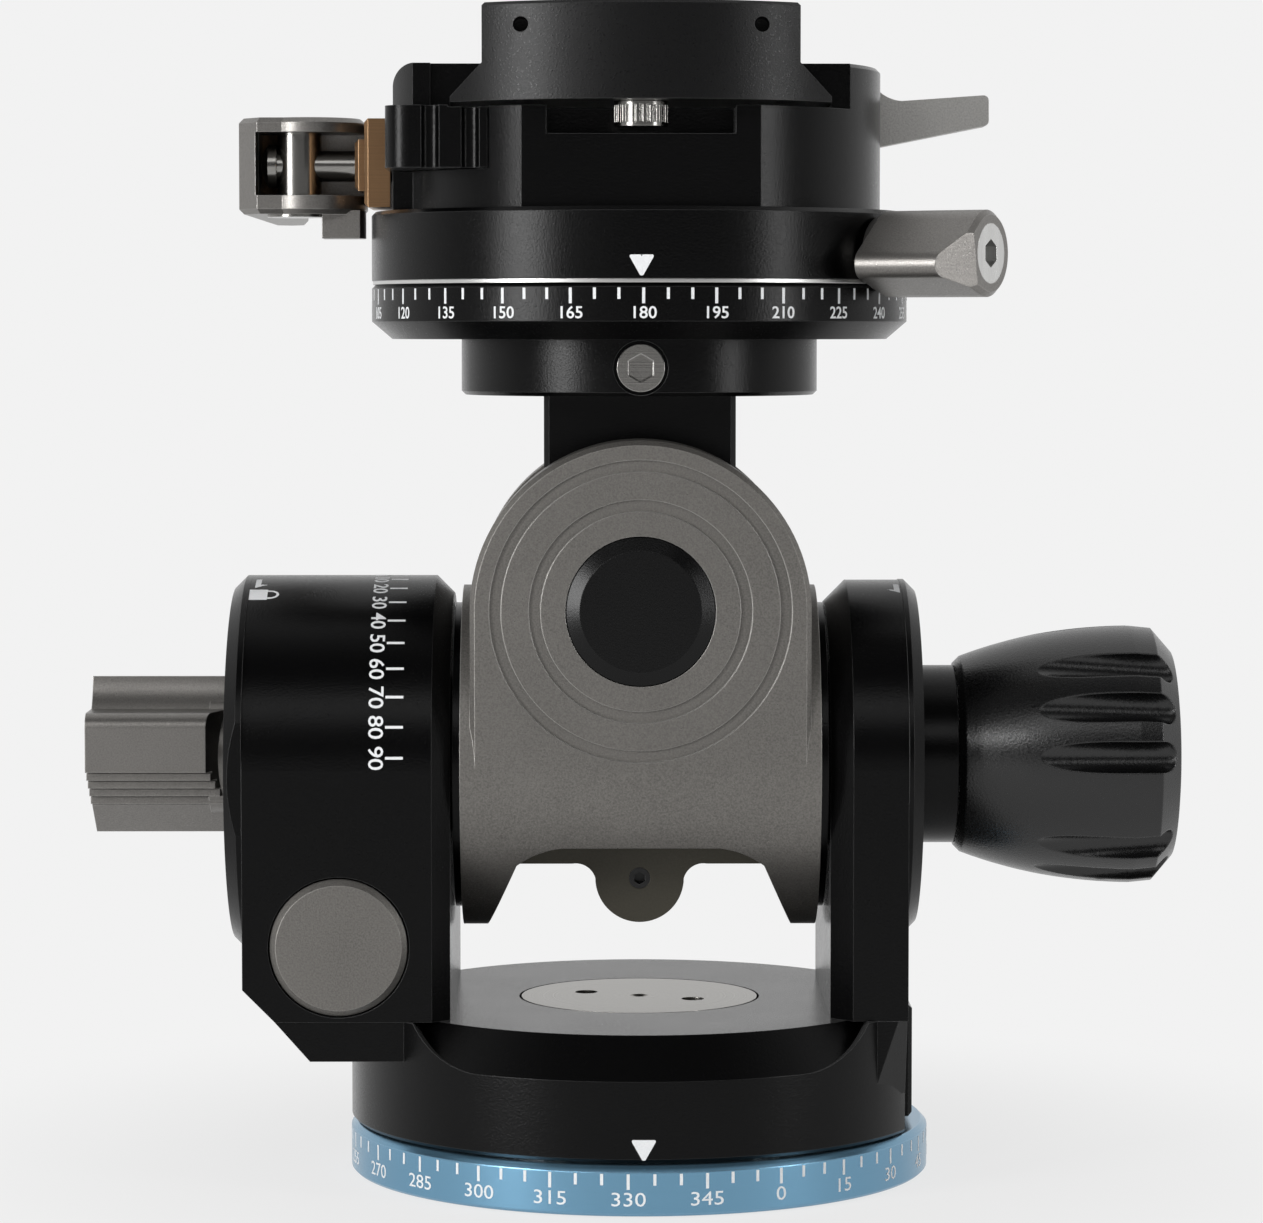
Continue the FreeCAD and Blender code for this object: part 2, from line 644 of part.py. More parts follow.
# ================================================================== base
def base_ring():
    """The blue ring that carries the lower scale."""
    return turned("z", [(0.0, PAN_STEM_RADIUS), (0.0, RING_RADIUS - RING_FOOT_EDGE),
                        (RING_FOOT_EDGE, RING_RADIUS), (RING_HEIGHT - RING_EDGE, RING_RADIUS),
                        (RING_HEIGHT, RING_RADIUS - RING_EDGE), (RING_HEIGHT, PAN_STEM_RADIUS)])


def pan_spindle():
    """The steel post that the fork turns on, tapped for the tripod screw."""
    flange_low = DECK - PAN_FLANGE_THICKNESS
    body = joined(rod("z", PAN_STEM_RADIUS, 0.0, flange_low),
                  rod("z", PAN_FLANGE_RADIUS, flange_low, DECK))
    socket = rod("z", SOCKET_RADIUS, 0.0, SOCKET_DEPTH)
    across = SPANNER_REACH * math.cos(math.radians(SPANNER_ANGLE))
    back = SPANNER_REACH * math.sin(math.radians(SPANNER_ANGLE))
    holes = [rod("z", SPANNER_RADIUS, DECK - SPANNER_DEPTH, DECK, side * across, side * back)
             for side in (-1, 1)]
    dimple = turned("z", [(DECK - DIMPLE_DEPTH, 0.0), (DECK, DIMPLE_RADIUS), (DECK, 0.0)])
    return less(body, socket, dimple, *holes)


def pan_thrust_washer():
    """The thin washer between the scale ring and the turning body."""
    outer = RING_RADIUS - PAN_WASHER_INSET
    return tube("z", outer, outer - PAN_WASHER_WIDTH, RING_HEIGHT, PAN_FLOOR)


def pan_drum():
    """The round body of the lower pan, before its feet and cuts."""
    return turned("z", [(PAN_FLOOR, 0.0), (PAN_FLOOR, PAN_RADIUS - EDGE), (PAN_FLOOR + EDGE, PAN_RADIUS),
                        (DECK, PAN_RADIUS), (DECK, 0.0)])


def left_foot():
    """The ledge that carries the tilt gear housing."""
    low = DECK - LEFT_FOOT_HEIGHT
    end = LEFT_ARM_X + LEFT_CORNER_RISE - SLIDE_FIT
    return prism("y", -FOOT_HALF_DEPTH, FOOT_HALF_DEPTH,
                 [(end, DECK), (end + LEFT_FOOT_SLANT, low), (0.0, low), (0.0, DECK)])


def right_foot():
    """The block under the right arm, with slanted corners."""
    low = DECK - RIGHT_FOOT_HEIGHT
    foot = slab(0.0, PAN_FLAT_X, -FOOT_HALF_DEPTH, FOOT_HALF_DEPTH, low, DECK)
    edge_x = PAN_FLAT_X - FACET_WIDTH
    side_y = FOOT_HALF_DEPTH - FACET_DEPTH
    middle_y = (FOOT_HALF_DEPTH + side_y) / 2
    for side in (-1, 1):
        first = Vector(edge_x, side * FOOT_HALF_DEPTH, DECK)
        second = Vector(PAN_FLAT_X, side * side_y, DECK)
        third = Vector(edge_x - FACET_LEAN, side * middle_y, low)
        outward = (second - first).cross(third - first)
        if outward.x < 0:
            outward = outward * -1
        foot = foot.cut(half_space(first, outward))
    return foot


def deck_scoops():
    """The sloping cuts in front of and behind the deck."""
    low = DECK - SCOOP_DEPTH
    far = PAN_RADIUS + BEYOND
    ring = turned("z", [(DECK, DECK_RADIUS), (low, PAN_RADIUS), (low, far), (DECK + EDGE, far),
                        (DECK + EDGE, DECK_RADIUS)])
    middle = (SCOOP_FLOOR_HALF + SCOOP_MOUTH_HALF) / 2
    bend = low + SCOOP_BULGE
    window = prism("y", -BEYOND, BEYOND,
                   [(-SCOOP_MOUTH_HALF, DECK + EDGE), (-SCOOP_MOUTH_HALF, DECK),
                    ((-middle, bend), (-SCOOP_FLOOR_HALF, low)), (SCOOP_FLOOR_HALF, low),
                    ((middle, bend), (SCOOP_MOUTH_HALF, DECK)), (SCOOP_MOUTH_HALF, DECK + EDGE)])
    return ring.common(window)


def arm_screw_places():
    """Where the screws that hold the two arms stand, as (x, y)."""
    left = -ARM_X - LEFT_SCREW_INSET
    right = RIGHT_ARM_X - RIGHT_SCREW_INSET
    return [(x, side * ARM_SCREW_Y) for x in (left, right) for side in (-1, 1)]


def side_screw_places():
    """Where the side plate's screws lie, as (y, z)."""
    z = PAN_FLOOR + SIDE_PLATE_LIFT + SIDE_PLATE_HEIGHT / 2
    return [(SIDE_PLATE_OFFSET + side * SIDE_SCREW_SPREAD, z) for side in (-1, 1)]


def pan_body():
    """The turning body of the lower pan with its deck and the two feet."""
    body = joined(pan_drum(), left_foot(), right_foot())
    flat = slab(PAN_FLAT_X, BEYOND, -BEYOND, BEYOND, PAN_FLOOR - EDGE, DECK + EDGE)
    counterbore = rod("z", PAN_FLANGE_RADIUS + PAN_FLANGE_GAP, DECK - PAN_FLANGE_THICKNESS, DECK)
    bore = rod("z", PAN_STEM_RADIUS + RUNNING_FIT, PAN_FLOOR, DECK)
    lock_bore = rod("y", PAN_LOCK_RADIUS + RUNNING_FIT, 0.0, PAN_RADIUS + EDGE, 0.0, PAN_LOCK_Z)
    screws = [rod("z", ARM_SCREW_RADIUS + SCREW_FIT, PAN_FLOOR, DECK, *place)
              for place in arm_screw_places()]
    heads = [rod("z", ARM_SCREW_HEAD + SCREW_FIT, PAN_FLOOR, DECK - ARM_SCREW_FLOOR, *place)
             for place in arm_screw_places()]
    sides = [rod("x", SIDE_SCREW_RADIUS, PAN_FLAT_X - SIDE_SCREW_LENGTH, PAN_FLAT_X, *place)
             for place in side_screw_places()]
    return less(body, flat, deck_scoops(), counterbore, bore, lock_bore, *screws, *heads, *sides)


def pan_side_plate():
    """The small plate on the flat right side."""
    low = PAN_FLOOR + SIDE_PLATE_LIFT
    plate = slab(PAN_FLAT_X, PAN_FLAT_X + SIDE_PLATE_THICKNESS, SIDE_PLATE_OFFSET - SIDE_PLATE_HALF,
                 SIDE_PLATE_OFFSET + SIDE_PLATE_HALF, low, low + SIDE_PLATE_HEIGHT)
    plate = bevelled(plate, EDGE, "x", PAN_FLAT_X + SIDE_PLATE_THICKNESS)
    holes = [rod("x", SIDE_SCREW_HEAD, PAN_FLAT_X, PAN_FLAT_X + SIDE_PLATE_THICKNESS, y, z)
             for y, z in side_screw_places()]
    return less(plate, *holes)


def side_plate_screws():
    """Two small socket screws, flush with the side plate."""
    return [socket_screw("x", SIDE_SCREW_RADIUS, SIDE_SCREW_HEAD, SIDE_PLATE_THICKNESS,
                         PAN_FLAT_X - SIDE_SCREW_LENGTH, PAN_FLAT_X, SIDE_SCREW_HEAD,
                         SIDE_PLATE_THICKNESS / 2, *place)
            for place in side_screw_places()]


def arm_screws():
    """Four socket screws that hold the arms on the pan body."""
    seat = DECK - ARM_SCREW_FLOOR
    tip = DECK + ARM_SCREW_BITE
    return [socket_screw("z", ARM_SCREW_RADIUS, ARM_SCREW_HEAD, ARM_SCREW_HEAD_HEIGHT, tip, seat,
                         ARM_SCREW_HEAD, ARM_SCREW_HEAD_HEIGHT / 2, *place)
            for place in arm_screw_places()]


# ================================================================== pan lock
def pan_lock_screw():
    """The threaded pin of the pan lock."""
    start = PAN_STEM_RADIUS + FREE_GAP
    end = PAN_RADIUS + PAN_KNOB_NECK_LENGTH + PAN_KNOB_LENGTH / 2
    return rod("y", PAN_LOCK_RADIUS, start, end, 0.0, PAN_LOCK_Z)


def grip_knob(axis, start, neck, neck_length, radius, length, taper, flutes, flute, bore, depth, u, v):
    """A round knob with a neck, evenly fluted, with its bore at the neck end."""
    grip = start + neck_length
    end = grip + length
    body = turned(axis, [(start, 0.0), (start, neck), (grip, neck), (grip, radius - taper),
                         (grip + length / 2, radius), (end - taper, radius), (end, radius - taper),
                         (end, 0.0)], u, v)
    groove = rod(axis, flute, grip + taper, end + flute, u, v)
    groove.translate(cross_of(axis) * (radius + flute / 2))
    hole = rod(axis, bore, start, start + depth, u, v)
    centre = spot(axis, 0.0, u, v)
    return less(body, hole, *copies_around(groove, flutes, centre, AXES[axis]))


def pan_lock_knob():
    """The knob that locks the lower pan, at the back."""
    start = PAN_RADIUS + FREE_GAP
    bore_depth = PAN_RADIUS + PAN_KNOB_NECK_LENGTH + PAN_KNOB_LENGTH / 2 - start
    return grip_knob("y", start, PAN_KNOB_NECK, PAN_KNOB_NECK_LENGTH, PAN_KNOB_RADIUS, PAN_KNOB_LENGTH,
                     EDGE, PAN_KNOB_FLUTES, PAN_KNOB_FLUTE, PAN_LOCK_RADIUS, bore_depth, 0.0, PAN_LOCK_Z)


# ================================================================== fork
def tombstone(x_low, x_high, radius, bottom):
    """An arm's outline: upright sides with a round top about the tilt axis."""
    return prism("x", x_low, x_high, [(-radius, bottom), (radius, bottom), (radius, TILT_Z),
                                      ((0.0, TILT_Z + radius), (-radius, TILT_Z))])


def tilt_gear_housing():
    """The left arm, hollow for the tilt wheel and its worm."""
    arm = tombstone(LEFT_ARM_X, -ARM_X, LEFT_ARM_RADIUS, DECK)
    arm = bevelled(arm, LEFT_ARM_EDGE, "x", -ARM_X, DECK)
    corner = prism("y", -BEYOND, BEYOND, [(LEFT_ARM_X, DECK), (LEFT_ARM_X + LEFT_CORNER_RISE, DECK),
                                          (LEFT_ARM_X, DECK + LEFT_CORNER_RISE)])
    wheel_space = rod("x", TILT_WHEEL_SPACE, LEFT_ARM_X, GEAR_WALL_X, 0.0, TILT_Z)
    worm_space = rod("y", TILT_WORM_SPACE, -LEFT_ARM_RADIUS, LEFT_ARM_RADIUS, WORM_LINE_X, TILT_WORM_Z)
    cap_seat = rod("y", WORM_CAP_RADIUS + RIM_GAP, -LEFT_ARM_RADIUS, -LEFT_ARM_RADIUS + WORM_CAP_SEAT,
                   WORM_LINE_X, TILT_WORM_Z)
    bush_radius = LEFT_TRUNNION_RADIUS + RUNNING_FIT + TRUNNION_BUSH_WALL
    bush_bore = rod("x", bush_radius, GEAR_WALL_X, -ARM_X, 0.0, TILT_Z)
    screws = [rod("z", ARM_SCREW_RADIUS, DECK, DECK + ARM_SCREW_BITE, x, y)
              for x, y in arm_screw_places() if x < 0]
    return less(arm, corner, wheel_space, worm_space, cap_seat, bush_bore, *screws)


def tilt_housing_cover():
    """The round cover that closes the gear housing on its outer side."""
    centre = TILT_Z - COVER_DROP
    disc = turned("x", [(COVER_X, 0.0), (COVER_X, COVER_RADIUS - COVER_EDGE),
                        (COVER_X + COVER_EDGE, COVER_RADIUS), (LEFT_ARM_X, COVER_RADIUS),
                        (LEFT_ARM_X, 0.0)], 0.0, centre)
    sides = slab(COVER_X, LEFT_ARM_X, -LEFT_ARM_RADIUS, LEFT_ARM_RADIUS, DECK, DECK + BEYOND)
    bore = rod("x", LOCK_SCREW_RADIUS + RUNNING_FIT, COVER_X, LEFT_ARM_X, 0.0, TILT_Z)
    return less(disc.common(sides), bore)


def right_arm():
    """The right arm, which carries the block's right trunnion."""
    arm = tombstone(ARM_X, RIGHT_ARM_X, RIGHT_ARM_RADIUS, DECK)
    arm = bevelled(arm, RIGHT_ARM_EDGE, "x", ARM_X, DECK)
    bush_radius = RIGHT_TRUNNION_RADIUS + RUNNING_FIT + TRUNNION_BUSH_WALL
    bush_bore = rod("x", bush_radius, ARM_X, RIGHT_ARM_X, 0.0, TILT_Z)
    screws = [rod("z", ARM_SCREW_RADIUS, DECK, DECK + ARM_SCREW_BITE, x, y)
              for x, y in arm_screw_places() if x > 0]
    return less(arm, bush_bore, *screws)


def right_arm_bezel():
    """The round plate on the outer side of the right arm."""
    centre = TILT_Z - RIGHT_ARM_RADIUS + BEZEL_RADIUS - COVER_DROP / 2
    disc = turned("x", [(RIGHT_ARM_X, 0.0), (RIGHT_ARM_X, BEZEL_RADIUS),
                        (BEZEL_X - BEZEL_EDGE, BEZEL_RADIUS), (BEZEL_X, BEZEL_RADIUS - BEZEL_EDGE),
                        (BEZEL_X, 0.0)], 0.0, centre)
    bore = rod("x", RIGHT_TRUNNION_RADIUS + FREE_GAP, RIGHT_ARM_X, BEZEL_X, 0.0, TILT_Z)
    return less(disc, bore)


def left_trunnion_bush():
    """The bronze bush of the left trunnion."""
    inner = LEFT_TRUNNION_RADIUS + RUNNING_FIT
    return tube("x", inner + TRUNNION_BUSH_WALL, inner, GEAR_WALL_X, -ARM_X, 0.0, TILT_Z)


def right_trunnion_bush():
    """The bronze bush of the right trunnion."""
    inner = RIGHT_TRUNNION_RADIUS + RUNNING_FIT
    return tube("x", inner + TRUNNION_BUSH_WALL, inner, ARM_X, RIGHT_ARM_X, 0.0, TILT_Z)


# ================================================================== tilt worm
def tilt_worm_cap():
    """The grey cap that closes the front end of the worm's bore."""
    front = -LEFT_ARM_RADIUS - WORM_CAP_PROUD
    back = -LEFT_ARM_RADIUS + WORM_CAP_SEAT
    return turned("y", [(front, 0.0), (front, WORM_CAP_RADIUS - WORM_CAP_EDGE),
                        (front + WORM_CAP_EDGE, WORM_CAP_RADIUS), (back, WORM_CAP_RADIUS), (back, 0.0)],
                  WORM_LINE_X, TILT_WORM_Z)


def tilt_worm_bushes():
    """The two bronze bushes of the tilt worm."""
    inner = SHAFT_RADIUS + RUNNING_FIT
    front = -LEFT_ARM_RADIUS + WORM_CAP_SEAT
    spans = [(front, front + WORM_BUSH_FRONT), (LEFT_ARM_RADIUS - WORM_BUSH_BACK, LEFT_ARM_RADIUS)]
    return [tube("y", TILT_WORM_SPACE, inner, low, high, WORM_LINE_X, TILT_WORM_Z) for low, high in spans]


def tilt_worm_shaft():
    """The worm that drives the tilt wheel, in one piece with its shaft."""
    worm = framed(worm_thread(TILT_WORM_RADIUS, TILT_WORM_TURNS), UP, AXES["y"],
                  Vector(WORM_LINE_X, 0.0, TILT_WORM_Z))
    front = -LEFT_ARM_RADIUS + WORM_CAP_SEAT + FREE_GAP
    back = LEFT_ARM_RADIUS + TILT_KNOB_GAP + KNOB_BORE_DEPTH
    return worm.fuse(rod("y", SHAFT_RADIUS, front, back, WORM_LINE_X, TILT_WORM_Z))


def tilt_knob():
    """The knob on the back end of the tilt worm."""
    return grip_knob("y", LEFT_ARM_RADIUS + TILT_KNOB_GAP, TILT_KNOB_NECK, TILT_KNOB_NECK_LENGTH,
                     TILT_KNOB_RADIUS, TILT_KNOB_LENGTH, TILT_KNOB_TAPER, TILT_KNOB_FLUTES, TILT_KNOB_FLUTE,
                     SHAFT_RADIUS, KNOB_BORE_DEPTH, WORM_LINE_X, TILT_WORM_Z)


# ================================================================== lock wings
def wing_side():
    """Half of the wing's outline, from the top over the front to the foot, about the screw axis."""
    steps = [(-WING_TIP_HALF, WING_HALF_HEIGHT)]
    bend = (-(WING_TIP_HALF + WING_WAIST) / 2 + EDGE / 2, (WING_HALF_HEIGHT + WING_SHOULDER) / 2 - EDGE)
    steps.append((bend, (-WING_WAIST, WING_SHOULDER)))
    steps.append((-WING_REACH + WING_CORNER, WING_SHOULDER))
    turn = WING_CORNER * (1 - math.sqrt(0.5))
    steps.append(((-WING_REACH + turn, WING_SHOULDER - turn), (-WING_REACH, WING_SHOULDER - WING_CORNER)))
    steps.append((-WING_REACH, -WING_GRIP_TOP))
    steps.extend(wing_teeth())
    return steps


def wing_teeth():
    """The stepped slope of the wing: upright faces with a groove under each."""
    crest = Vector(-WING_REACH, -WING_GRIP_TOP, 0)
    pitch = (Vector(-WING_WAIST, -WING_SHOULDER, 0) - crest) / WING_TEETH
    steps = []
    for _ in range(WING_TEETH):
        ledge = crest.y + pitch.y * WING_TOOTH_FACE
        crest = crest + pitch
        root = crest.x + WING_TOOTH_DEPTH
        steps.extend([(crest.x - pitch.x, ledge), (root, ledge), (root, crest.y), (crest.x, crest.y)])
    return steps


def wing_undercuts(axis, way, start, u):
    """The two slanted cuts that free the wing's inner end beside its hub."""
    far = WING_REACH + EDGE
    slope = WING_UNDERCUT / (WING_REACH - WING_WAIST)
    back = start - way * EDGE
    cuts = []
    for side in (-1, 1):
        near = (start, u + side * WING_WAIST)
        deep = (start + way * slope * (far - WING_WAIST), u + side * far)
        steps = [(back, near[1]), near, deep, (back, deep[1])]
        if axis == "y":
            steps = [(across, along) for along, across in steps]
        cuts.append(prism("z", -BEYOND, 2 * BEYOND, steps))
    return cuts


def wing(axis, way, start, u, v):
    """A lock wing whose inner end is at 'start' and which reaches out 'way' along an axis."""
    def placed(step):
        if isinstance(step[0], tuple):
            return tuple((u + corner[0], v + corner[1]) for corner in step)
        return (u + step[0], v + step[1])

    def opposite(step):
        if isinstance(step[0], tuple):
            return tuple((-corner[0], -corner[1]) for corner in step)
        return (-step[0], -step[1])

    front = wing_side()
    outline = [placed(step) for step in front + [opposite(step) for step in front]]
    inner = start + way * WING_HUB_LENGTH
    outer = start + way * WING_LENGTH
    grip = less(prism(axis, start, outer, outline), *wing_undercuts(axis, way, start, u))
    hub_low = start - way * (WING_GAP - SLIDE_FIT)
    hub = rod(axis, WING_HUB_RADIUS, min(hub_low, inner), max(hub_low, inner), u, v)
    seat = outer - way * (LOCK_HEAD_SINK + LOCK_HEAD_LENGTH)
    bore = rod(axis, LOCK_SCREW_RADIUS, min(hub_low, outer), max(hub_low, outer), u, v)
    counterbore = rod(axis, LOCK_HEAD_RADIUS, min(seat, outer), max(seat, outer), u, v)
    return less(joined(grip, hub), bore, counterbore)


def lock_screw(axis, way, start, tip, u, v):
    """The socket head screw in a lock wing."""
    seat = start + way * (WING_LENGTH - LOCK_HEAD_SINK - LOCK_HEAD_LENGTH)
    return socket_screw(axis, LOCK_SCREW_RADIUS, LOCK_HEAD_RADIUS, LOCK_HEAD_LENGTH, tip, seat,
                        LOCK_HEX_ACROSS, LOCK_HEX_DEPTH, u, v)


def tilt_lock_wing():
    """The wing that locks the tilt, on the left."""
    return wing("x", -1, WING_X, 0.0, TILT_Z)


def tilt_lock_screw():
    """The screw of the tilt lock; its tip presses on the left trunnion."""
    return lock_screw("x", -1, WING_X, left_trunnion_end() - TIP_GAP, 0.0, TILT_Z)


def roll_lock_wing():
    """The wing that locks the roll, at the back."""
    return wing("y", 1, BLOCK_DRUM_RADIUS + WING_GAP, 0.0, ROLL_Z)


def roll_lock_screw():
    """The screw of the roll lock; its tip presses on the roll pin."""
    return lock_screw("y", 1, BLOCK_DRUM_RADIUS + WING_GAP, ROLL_BACK_FLOOR, 0.0, ROLL_Z)


# ================================================================== tilting block
def window_steps(below):
    """The outline of the opening under the block, down to a level."""
    corner_z = WINDOW_CEILING - WINDOW_CORNER_DROP
    middle = (WINDOW_FLAT_HALF + WINDOW_CORNER_HALF) / 2
    bend = (WINDOW_CEILING + corner_z) / 2 + WINDOW_CORNER_BULGE / 2
    foot = WINDOW_CORNER_HALF + WINDOW_FLARE * (corner_z - below)
    return [(-foot, below), (-WINDOW_CORNER_HALF, corner_z),
            ((-middle, bend), (-WINDOW_FLAT_HALF, WINDOW_CEILING)), (WINDOW_FLAT_HALF, WINDOW_CEILING),
            ((middle, bend), (WINDOW_CORNER_HALF, corner_z)), (foot, below)]


def block_blank():
    """The block before its cuts: a drum about the tilt axis and an arched plate."""
    drum = rod("x", BLOCK_DRUM_RADIUS, -BLOCK_HALF_WIDTH, BLOCK_HALF_WIDTH, 0.0, TILT_Z)
    plate = prism("y", -BLOCK_DRUM_RADIUS, BLOCK_DRUM_RADIUS,
                  [(-BLOCK_PLATE_HALF, TILT_Z), (BLOCK_PLATE_HALF, TILT_Z), (BLOCK_PLATE_HALF, ROLL_Z),
                   ((0.0, ROLL_Z + BLOCK_PLATE_HALF), (-BLOCK_PLATE_HALF, ROLL_Z))])
    for side in (-1, 1):
        plate = bevelled(plate, BLOCK_EDGE, "y", side * BLOCK_DRUM_RADIUS, TILT_Z)
    return joined(drum, plate)


def neck_slot():
    """The space in which the neck swings."""
    half_angle = math.radians(SLOT_SWING) + math.asin(NECK_HALF_WIDTH / SLOT_RADIUS)
    wide = BEYOND * math.sin(half_angle)
    high = ROLL_Z + BEYOND * math.cos(half_angle)
    far = ROLL_Z + BEYOND
    swing = prism("y", -SLOT_HALF, SLOT_HALF,
                  [(0.0, ROLL_Z), (wide, high), (wide, far), (-wide, far), (-wide, high)])
    return rod("y", SLOT_RADIUS, -SLOT_HALF, SLOT_HALF, 0.0, ROLL_Z).fuse(swing)


def front_grooves():
    """Two shallow turned rings on the block's front."""
    front = -BLOCK_DRUM_RADIUS
    return [tube("y", radius + FRONT_GROOVE_WIDTH, radius, front, front + FRONT_GROOVE_DEPTH, 0.0, ROLL_Z)
            for radius in FRONT_GROOVE_RADII]


def tilt_block():
    """The grey block that tilts in the fork and holds the roll gear."""
    cap_seat = rod("y", ROLL_CAP_RADIUS + SLIDE_FIT, -BLOCK_DRUM_RADIUS, ROLL_CAP_FLOOR, 0.0, ROLL_Z)
    pin_bore = rod("y", ROLL_BUSH_RADIUS, ROLL_CAP_FLOOR, ROLL_BACK_FLOOR, 0.0, ROLL_Z)
    lock_bore = rod("y", LOCK_SCREW_RADIUS + RUNNING_FIT, 0.0, BLOCK_DRUM_RADIUS, 0.0, ROLL_Z)
    worm_space = rod("x", ROLL_WORM_SPACE, -ROLL_WORM_HALF_SPACE, ROLL_WORM_HALF_SPACE, 0.0, TILT_Z)
    bush_bore = rod("x", ROLL_WORM_BUSH, -SPIGOT_X, SPIGOT_X, 0.0, TILT_Z)
    spigots = [rod("x", TRUNNION_SPIGOT_RADIUS, low, low + TRUNNION_SPIGOT, 0.0, TILT_Z)
               for low in (-BLOCK_HALF_WIDTH, SPIGOT_X)]
    window = prism("y", -BEYOND, BEYOND, window_steps(DECK))
    return less(block_blank(), neck_slot(), cap_seat, pin_bore, lock_bore, worm_space, bush_bore, window,
                *spigots, *front_grooves())


def left_trunnion_end():
    """Where the left trunnion's shaft ends."""
    return LEFT_ARM_X + LEFT_TRUNNION_END_GAP


def left_trunnion():
    """The left trunnion, whose shaft carries the tilt wheel."""
    return joined(rod("x", TRUNNION_SPIGOT_RADIUS, -BLOCK_HALF_WIDTH, -SPIGOT_X, 0.0, TILT_Z),
                  rod("x", TRUNNION_FLANGE_RADIUS, -TRUNNION_X, -BLOCK_HALF_WIDTH, 0.0, TILT_Z),
                  rod("x", LEFT_TRUNNION_RADIUS, left_trunnion_end(), -TRUNNION_X, 0.0, TILT_Z))


def right_trunnion():
    """The right trunnion, hollow for the roll worm's shaft."""
    end = BEZEL_X + RIGHT_TRUNNION_PROUD
    body = joined(rod("x", TRUNNION_SPIGOT_RADIUS, SPIGOT_X, BLOCK_HALF_WIDTH, 0.0, TILT_Z),
                  rod("x", TRUNNION_FLANGE_RADIUS, BLOCK_HALF_WIDTH, TRUNNION_X, 0.0, TILT_Z),
                  rod("x", RIGHT_TRUNNION_RADIUS, TRUNNION_X, end, 0.0, TILT_Z))
    return less(body, rod("x", SHAFT_RADIUS + FREE_GAP, SPIGOT_X, end, 0.0, TILT_Z))


def tilt_wheel():
    """The worm wheel on the left trunnion."""
    wheel = gear_wheel(TILT_TEETH, TILT_WHEEL_WIDTH, TILT_WORM_RADIUS, LEFT_TRUNNION_RADIUS)
    return framed(wheel, Vector(0, 0, -1), AXES["x"], Vector(WORM_LINE_X, 0.0, TILT_Z))


def worm_adjust_plate():
    """The plate under the roll worm's space, with its round tab."""
    back = ADJUST_PLATE_FRONT + ADJUST_PLATE_THICKNESS
    low = WINDOW_CEILING - ADJUST_PLATE_DROP
    upper = window_steps(low)
    tab_z = low - ADJUST_TAB_DROP
    shoulder = ADJUST_TAB_RADIUS + ADJUST_TAB_FILLET
    inside = ADJUST_TAB_RADIUS + ADJUST_TAB_FILLET * (1 - math.sqrt(0.5))
    fillet_z = low - ADJUST_TAB_DROP * (1 - math.sqrt(0.5))
    steps = [(-WINDOW_CORNER_HALF, low)] + upper[1:-1] + [(WINDOW_CORNER_HALF, low), (shoulder, low)]
    steps.append(((inside, fillet_z), (ADJUST_TAB_RADIUS, tab_z)))
    steps.append(((0.0, tab_z - ADJUST_TAB_RADIUS), (-ADJUST_TAB_RADIUS, tab_z)))
    steps.append(((-inside, fillet_z), (-shoulder, low)))
    plate = prism("y", ADJUST_PLATE_FRONT, back, steps)
    return less(plate, rod("y", ADJUST_SCREW_RADIUS, ADJUST_PLATE_FRONT, back, 0.0, tab_z))


def worm_adjust_screw():
    """The small grub screw in the adjusting plate's tab."""
    tab_z = WINDOW_CEILING - ADJUST_PLATE_DROP - ADJUST_TAB_DROP
    front = ADJUST_PLATE_FRONT
    screw = rod("y", ADJUST_SCREW_RADIUS, front, front + ADJUST_SCREW_LENGTH, 0.0, tab_z)
    return less(screw, hexagon("y", ADJUST_SCREW_RADIUS, front, front + ADJUST_SCREW_RADIUS, 0.0, tab_z))


def roll_axis_cap():
    """The black cap over the roll axis, on the front."""
    front = -BLOCK_DRUM_RADIUS - ROLL_CAP_PROUD
    return turned("y", [(front, 0.0), (front, ROLL_CAP_RADIUS - ROLL_CAP_EDGE),
                        (front + ROLL_CAP_PROUD, ROLL_CAP_RADIUS), (ROLL_CAP_FLOOR, ROLL_CAP_RADIUS),
                        (ROLL_CAP_FLOOR, 0.0)], 0.0, ROLL_Z)


def roll_bushes():
    """The two bronze bushes of the roll pin."""
    inner = ROLL_PIN_RADIUS + RUNNING_FIT
    spans = [(ROLL_CAP_FLOOR, -SLOT_HALF), (SLOT_HALF, ROLL_BACK_FLOOR)]
    return [tube("y", ROLL_BUSH_RADIUS, inner, low, high, 0.0, ROLL_Z) for low, high in spans]


# ================================================================== roll worm and knob
def roll_worm_bushes():
    """The two bronze bushes of the roll worm."""
    inner = SHAFT_RADIUS + RUNNING_FIT
    spans = [(-SPIGOT_X, -SPIGOT_X + ROLL_BUSH_LENGTH), (SPIGOT_X - ROLL_BUSH_LENGTH, SPIGOT_X)]
    return [tube("x", ROLL_WORM_BUSH, inner, low, high, 0.0, TILT_Z) for low, high in spans]


def roll_worm_shaft():
    """The worm that drives the roll sector, in one piece with its long shaft."""
    worm = framed(worm_thread(ROLL_WORM_RADIUS, ROLL_WORM_TURNS), UP, AXES["x"], Vector(0.0, 0.0, TILT_Z))
    low = -SPIGOT_X + FREE_GAP
    high = ROLL_KNOB_X + KNOB_BORE_DEPTH
    return worm.fuse(rod("x", SHAFT_RADIUS, low, high, 0.0, TILT_Z))


